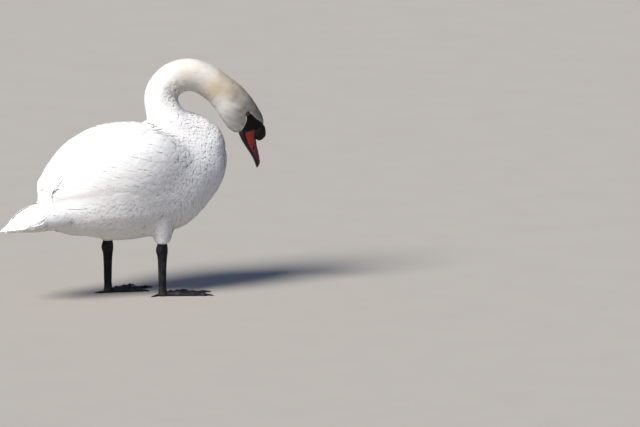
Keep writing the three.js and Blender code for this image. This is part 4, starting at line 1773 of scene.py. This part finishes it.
    def vanes(self, lot: Feathers, vane: Vane) -> tuple[Array, Array]:
        """The points of the vanes.

        At share t of the length and c of the half width the vane stands over the skin by
        base + rise (1 - (1 - t)^2) - arch c^2 + roll c.

        Args:
            lot: the feathers.
            vane: their shape.
        Returns:
            Points (feathers, points, 3), and across, along and a random number for each point.
        """
        t, c, _ = vane.template()
        steps = max(vane.rows - 1, 3)
        places, normals = self.lines(lot, steps, vane.bend)
        reach = t * (1 - vane.corner * c**2 * t**2)
        k = np.minimum((reach * steps).astype(int), steps - 1)
        share = (reach * steps - k)[None, :, None]
        centre = mix(places[:, k], places[:, k + 1], share)
        normal = unit(mix(normals[:, k], normals[:, k + 1], share))
        side = unit(np.cross(normal, places[:, k + 1] - places[:, k]))
        outline = (vane.root + (1 - vane.root) * ease(0, vane.full, t)) * (1 - vane.taper * ease(0.6, 1, t))
        across = (c * outline) * lot.widths[:, None] / 2
        points = centre + side * across[..., None]
        if vane.wraps:
            on, normal = self.surface.nearest(points)
            drop = (centre - self.surface.nearest(centre)[0]) * normal
            pull = on + normal * drop.sum(axis=-1, keepdims=True) - points
            points = points + self.held(pull, 0.6 * np.abs(across)[..., None])
        over = lot.bases[:, None] + lot.rises[:, None] * (1 - (1 - reach) ** 2)
        over = over - vane.arch * (c * outline) ** 2 * lot.widths[:, None] + lot.rolls[:, None] * across
        own = self.chance.uniform(size=len(lot.roots))
        marks = stacked(across / MM, reach * lot.lengths[:, None] / MM, own[:, None])
        return points + normal * over[..., None], marks

    def unwrap(self, points: Array) -> Array:
        """Each point's place on an unwrap of the skin: along it and round it, both 0 to 1.

        The body is unwrapped round its long axis, and the neck and head round the spine.

        Args:
            points: places in metres, one row each.
        Returns:
            Two numbers for each place.
        """
        along, _, nearest = self.spine.place(points)
        neck = self.markings.neck_share(points) > 0.5
        tangent, out = self.spine.tangents[nearest], points - self.spine.points[nearest]
        left = unit(np.cross([0, 0, 1], tangent * np.array([1, 1, 0.2]) + [0.3, 0, 0]))
        round_neck = np.arctan2((out * left).sum(axis=1), (out * np.cross(tangent, left)).sum(axis=1))
        round_body = np.arctan2(points[:, 1], points[:, 2] - 0.30)
        body = stacked(0.05 + 0.5 * (points[:, 0] + 0.38) / 0.70, 0.5 + round_body / FULL_TURN)
        tube = stacked(0.6 + 0.38 * along / self.spine.length, 0.5 + round_neck / FULL_TURN)
        return np.where(neck[:, None], tube, body) * 0.98 + 0.01

    def grow(self, name: str, lot: Feathers, vane: Vane, slot: str = "white_plumage") -> bpy.types.Object:
        """Makes one piece of plumage.

        Args:
            name: the piece's name.
            lot: its feathers.
            vane: their shape.
            slot: not used.
        Returns:
            The piece.
        """
        t, c, faces = vane.template()
        points, marks = self.vanes(lot, vane)
        count, each = points.shape[:2]
        starts = (np.arange(count) * each)[:, None, None]
        all_faces = [(face[None] + starts).reshape(-1, face.shape[1]) for face in faces]
        piece = new_piece(name, points.reshape(-1, 3), all_faces)
        rim = (np.abs(c) == 1) | (t == 0) | (t == 1)
        sharpen(piece.data, np.tile(rim, count))
        note(piece, "vane", marks.reshape(-1, 3))
        for mark in ("cream", "stain"):
            note(piece, mark, np.repeat(getattr(self.markings, mark)(lot.roots), each))
        patch = self.PATCH * stacked(c / 2, t - 0.5)
        bake_map(piece, (self.unwrap(lot.roots)[:, None] + patch[None]).reshape(-1, 2))
        dress(piece, self.material)
        return piece

    # ------------------------------------------------ pieces

    def small(self) -> None:
        """The small feathers, divided into the parts of the bird that they cover."""
        lot, wing = self.scattered()
        x, y, z = lot.roots.T
        along, _, _ = self.spine.place(lot.roots)
        neck = self.markings.neck_share(lot.roots) > 0.5
        thigh = self.near_leg(lot.roots) > 0.5
        head = neck & (along > self.spine.head_start)
        on_wing = (wing > 0.5) & ~neck & ~thigh
        rest = ~(neck | thigh | on_wing)
        tail = rest & (x < self.TAIL_AT)
        breast = rest & (x > self.BREAST_AT)
        back = rest & ~tail & ~breast & (z > self.BACK_AT)
        flank = rest & ~tail & ~breast & ~back
        body = Vane(arch=0.045)
        fine = Vane(rows=4, columns=3, corner=0.3)
        finest = Vane(rows=3, columns=3, corner=0.35, full=0.5)
        cream = "cream_plumage"
        self.grow("head_feathers", lot.some(head), finest, cream)
        self.grow("arch_feathers", lot.some(neck & ~head & (along > self.ARCH_AT)), fine, cream)
        self.grow("neck_feathers", lot.some(neck & ~head & (along <= self.ARCH_AT)), fine)
        self.grow("breast_feathers", lot.some(breast), body)
        self.grow("back_feathers", lot.some(back), body)
        self.grow("tail_coverts", lot.some(tail), Vane(rows=6, columns=4, bend=0.35))
        self.grow("thigh_feathers", lot.some(thigh), fine)
        for side in Side:
            here = y * side.value > 0
            self.grow(f"flank_feathers_{side.word}", lot.some(flank & here), body)
            self.grow(f"lesser_coverts_{side.word}", lot.some(on_wing & here), Vane(arch=0.05))

    def build(self) -> None:
        """Makes every piece of plumage."""
        WingRows(self).build()
        TailFan(self).build()
        self.small()


@dataclass(frozen=True)
class WingRow:
    """One row of long wing feathers; each pair of sizes is for its lowest and its highest feather."""

    name: str
    count: int
    round: tuple  # degrees round the wing, from its lower edge to the back
    roots: tuple  # x of the roots, mm
    tips: tuple  # x of the tips, mm
    width: tuple  # mm
    base: float  # height of the roots over the skin, mm
    rise: float  # how much higher the tips are, mm


class WingRows:
    """The rows of long feathers on each folded wing, each row lying over the one behind it."""

    COVERTS_END = -0.078  # x in metres where the scattered coverts end, over the roots of the rows
    UNDER_TIPS = -0.165  # x in metres behind which small feathers stand again, under the rows' tips
    OFF_MIDDLE = 0.036  # |y| in metres over which the rows cover the skin
    LOWEST = 0.262  # and z
    # The folded wing's own oval at each x: middle y and z, and half width and height, in millimetres.
    OVALS = (
        (-227, 18, 287, 24, 31), (-201, 22, 298, 37, 50), (-159, 33, 316, 51, 69), (-93, 49, 335, 67, 84),
        (-17, 65, 341, 67.5, 92), (61, 74, 349, 57, 82), (119, 83, 345, 35, 49), (144, 87, 342, 17, 24),
    )
    OUTSIDE = 12  # how far outside the oval a point is put before it is drawn to the skin, mm
    ROWS = (
        WingRow("primaries", 8, (-50, -26), (-84, -70), (-228, -243), (17, 21), 2.0, 5.0),
        WingRow("secondaries", 14, (-32, 50), (-44, -22), (-228, -238), (30, 38), 1.0, 4.4),
        WingRow("tertials", 8, (46, 84), (-44, -34), (-236, -208), (38, 42), 1.6, 4.0),
    )
    VANE = Vane(
        rows=13, columns=7, root=0.6, full=0.3, taper=0.35, corner=0.11, arch=0.012, bend=0.3, wraps=True
    )

    def __init__(self, coat: Coat) -> None:
        """Keeps the coat that the rows belong to."""
        self.coat = coat

    def on_wing(self, side: Side, x: Array, angle: Array) -> Array:
        """The skin's point at x (metres) and an angle (degrees) round the wing's oval.

        Args:
            side: which wing.
            x: of the points, in metres.
            angle: of the points, in degrees.
        Returns:
            Places on the skin.
        """
        y, z, wide, high = read(self.OVALS, x / MM).T
        turn = np.radians(angle)
        out_y = y + (wide + self.OUTSIDE) * np.cos(turn)
        out_z = z + (high + self.OUTSIDE) * np.sin(turn)
        return self.coat.surface.nearest(stacked(x, side.value * out_y * MM, out_z * MM))[0]

    def row(self, side: Side, row: WingRow) -> Feathers:
        """One row's feathers on one side.

        Args:
            side: which wing.
            row: its measures.
        Returns:
            The feathers.
        """
        share = np.linspace(0, 1, row.count)
        chance = self.coat.chance
        ends = (row.round, row.roots, row.tips, row.width)
        angle, root_x, tip_x, width = (mix(low, high, share) for low, high in ends)
        angle = angle + chance.normal(0, 1.0, row.count)
        root_x, tip_x = (x * MM + chance.normal(0, 2.5 * MM, row.count) for x in (root_x, tip_x))
        roots = self.on_wing(side, root_x, angle)
        ahead = self.on_wing(side, root_x - 0.05, angle)
        return Feathers(
            roots=roots,
            headings=unit(ahead - roots),
            lengths=(root_x - tip_x) * 1.03,
            widths=width * MM * chance.uniform(0.95, 1.05, row.count),
            bases=(row.base + 0.05 * np.arange(row.count)) * MM,
            rises=np.full(row.count, row.rise * MM),
            rolls=np.full(row.count, -0.06 * side.value) + chance.normal(0, 0.01, row.count),
        )

    def build(self) -> None:
        """Makes a piece for each row on each side."""
        for side in Side:
            for row in self.ROWS:
                self.coat.grow(f"{row.name}_vanes_{side.word}", self.row(side, row), self.VANE)


class TailFan:
    """The tail's own feathers: a half-closed fan with a pointed end, in a ring round the tail's wedge.

    At angle a round the tail from its left edge over the top, the tip stands at y = HALF_WIDTH cos(a) and
    x = TIP + SET_BACK cos(a)^2. Sizes are in metres.
    """

    COUNT = 46
    TIP = -0.3625  # x of the middle feathers' tips
    ROOT = -0.226
    LEVEL = 0.193  # height of the tips
    HALF_WIDTH = 0.050
    SET_BACK = 0.088
    MIDDLE = 0.213  # height of the tail's middle at the roots
    ROOT_HALF = (0.075, 0.060)  # half width and height of the ring from which the roots are drawn in
    VANE_WIDTH = 0.027
    VANE = Vane(rows=11, columns=7, root=0.55, full=0.3, taper=0.5, corner=0.13, arch=0.02)

    def __init__(self, coat: Coat) -> None:
        """Keeps the coat that the fan belongs to."""
        self.coat = coat

    def build(self) -> None:
        """Lays the ring, the outermost feathers first and the middle pairs on top."""
        out, up = np.cos(turns(self.COUNT)), np.sin(turns(self.COUNT))
        tips = stacked(self.TIP + self.SET_BACK * out**2, self.HALF_WIDTH * out, self.LEVEL + 0.002 * up)
        wide, high = self.ROOT_HALF
        roots, _ = self.coat.surface.nearest(stacked(self.ROOT, wide * out, self.MIDDLE + high * up))
        chance, count = self.coat.chance, self.COUNT
        lot = Feathers(
            roots=roots,
            headings=unit(tips - roots),
            lengths=np.linalg.norm(tips - roots, axis=1) * chance.uniform(0.98, 1.0, count),
            widths=np.full(count, self.VANE_WIDTH) * chance.uniform(0.94, 1.06, count),
            bases=(-0.6 + 1.0 * np.abs(up)) * MM,
            rises=np.full(count, 1.6 * MM),
            rolls=0.09 * np.sign(out) * np.sign(up + 0.01),
        )
        order = np.argsort(-np.abs(out), kind="stable")
        self.coat.grow("tail_feathers", lot.some(order), self.VANE)


# ---------------------------------------------------------------- studio


@dataclass(frozen=True)
class Studio:
    """The floor, the light and the camera, in metres and degrees."""

    azimuth: float = -30.0
    elevation: float = 9.0
    frame_width: float = 1.632  # metres across the picture at the bird
    aim_right: float = 0.4989  # of the picture's middle from the origin, along the picture's width
    aim_up: float = 0.2081
    lens: float = 800.0
    sensor: float = 36.0
    key_power: float = 6.8
    key_size: float = 25.0  # its width in the sky, wide enough for soft shadows
    key_left: float = 42.0  # from the camera
    key_height: float = 43.0
    key_colour: tuple = (1.0, 0.985, 0.955)
    sky: str = "#9cb5ea"
    sky_power: float = 0.46
    floor_radius: float = 30.0
    floor_sides: int = 64

    @staticmethod
    def towards(azimuth: float, elevation: float) -> Array:
        """The direction of something at this azimuth and elevation in degrees; azimuth 0 is -Y."""
        az, el = math.radians(azimuth), math.radians(elevation)
        return np.array([math.sin(az) * math.cos(el), -math.cos(az) * math.cos(el), math.sin(el)])

    def camera(self) -> None:
        """A long lens far off, so that the picture's scale hardly changes over the bird."""
        az = math.radians(self.azimuth)
        right = np.array([math.cos(az), math.sin(az), 0])
        back = self.towards(self.azimuth, self.elevation)
        distance = self.frame_width * self.lens / self.sensor
        data = bpy.data.cameras.new("camera")
        data.lens, data.sensor_width = self.lens, self.sensor
        data.clip_start, data.clip_end = 0.1, 200
        camera = in_scene("camera", data)
        camera.location = right * self.aim_right + np.cross(back, right) * self.aim_up + back * distance
        camera.rotation_euler = (math.pi / 2 - math.radians(self.elevation), 0, az)
        bpy.context.scene.camera = camera

    def lights(self) -> None:
        """A broad soft key from the upper left of the picture, and an even pale sky for fill."""
        key = bpy.data.lights.new("key", "SUN")
        key.energy, key.angle, key.color = self.key_power, math.radians(self.key_size), self.key_colour
        lamp = in_scene("key", key)
        x, y, z = self.towards(self.azimuth - self.key_left, self.key_height)
        lamp.rotation_euler = (math.acos(z), 0, math.atan2(x, -y))
        world = bpy.data.worlds.new("studio")
        world.use_nodes = True
        world.node_tree.nodes.clear()
        fill = {"Color": srgb(self.sky), "Strength": self.sky_power}
        surface = add_node(world.node_tree, "ShaderNodeBackground", fill)
        add_node(world.node_tree, "ShaderNodeOutputWorld", {"Surface": surface})
        bpy.context.scene.world = world
        bpy.context.scene.view_settings.view_transform = "Standard"

    def floor(self) -> None:
        """A flat round floor wider than any view."""
        count = self.floor_sides
        j, around = np.arange(count), turns(count)
        rim = self.floor_radius * stacked(np.cos(around), np.sin(around), 0.0)
        faces = [stacked(j, (j + 1) % count, count)]
        floor = new_piece("floor", np.concatenate([rim, [[0, 0, 0]]]), faces)
        floor.data.materials.append(FloorPaint().material())

    def build(self) -> None:
        """Makes all three."""
        self.camera()
        self.lights()
        self.floor()


def main() -> None:
    """Builds the studio, the skin, the bare parts and the coat, in that order."""
    logging.basicConfig(level=logging.INFO, format="%(name)s: %(message)s")
    Studio().build()
    head = HeadFrame()
    shape = Skin(Markings(head, Spine(head)))
    skin = shape.build()
    Bill(head).build()
    for side in Side:
        Eye(head, side).build()
    Leg(Side.RIGHT, yaw=-4.0).build()
    Leg(Side.LEFT, yaw=5.0).build()
    Coat(skin, shape).build()


if __name__ == "__main__":
    main()
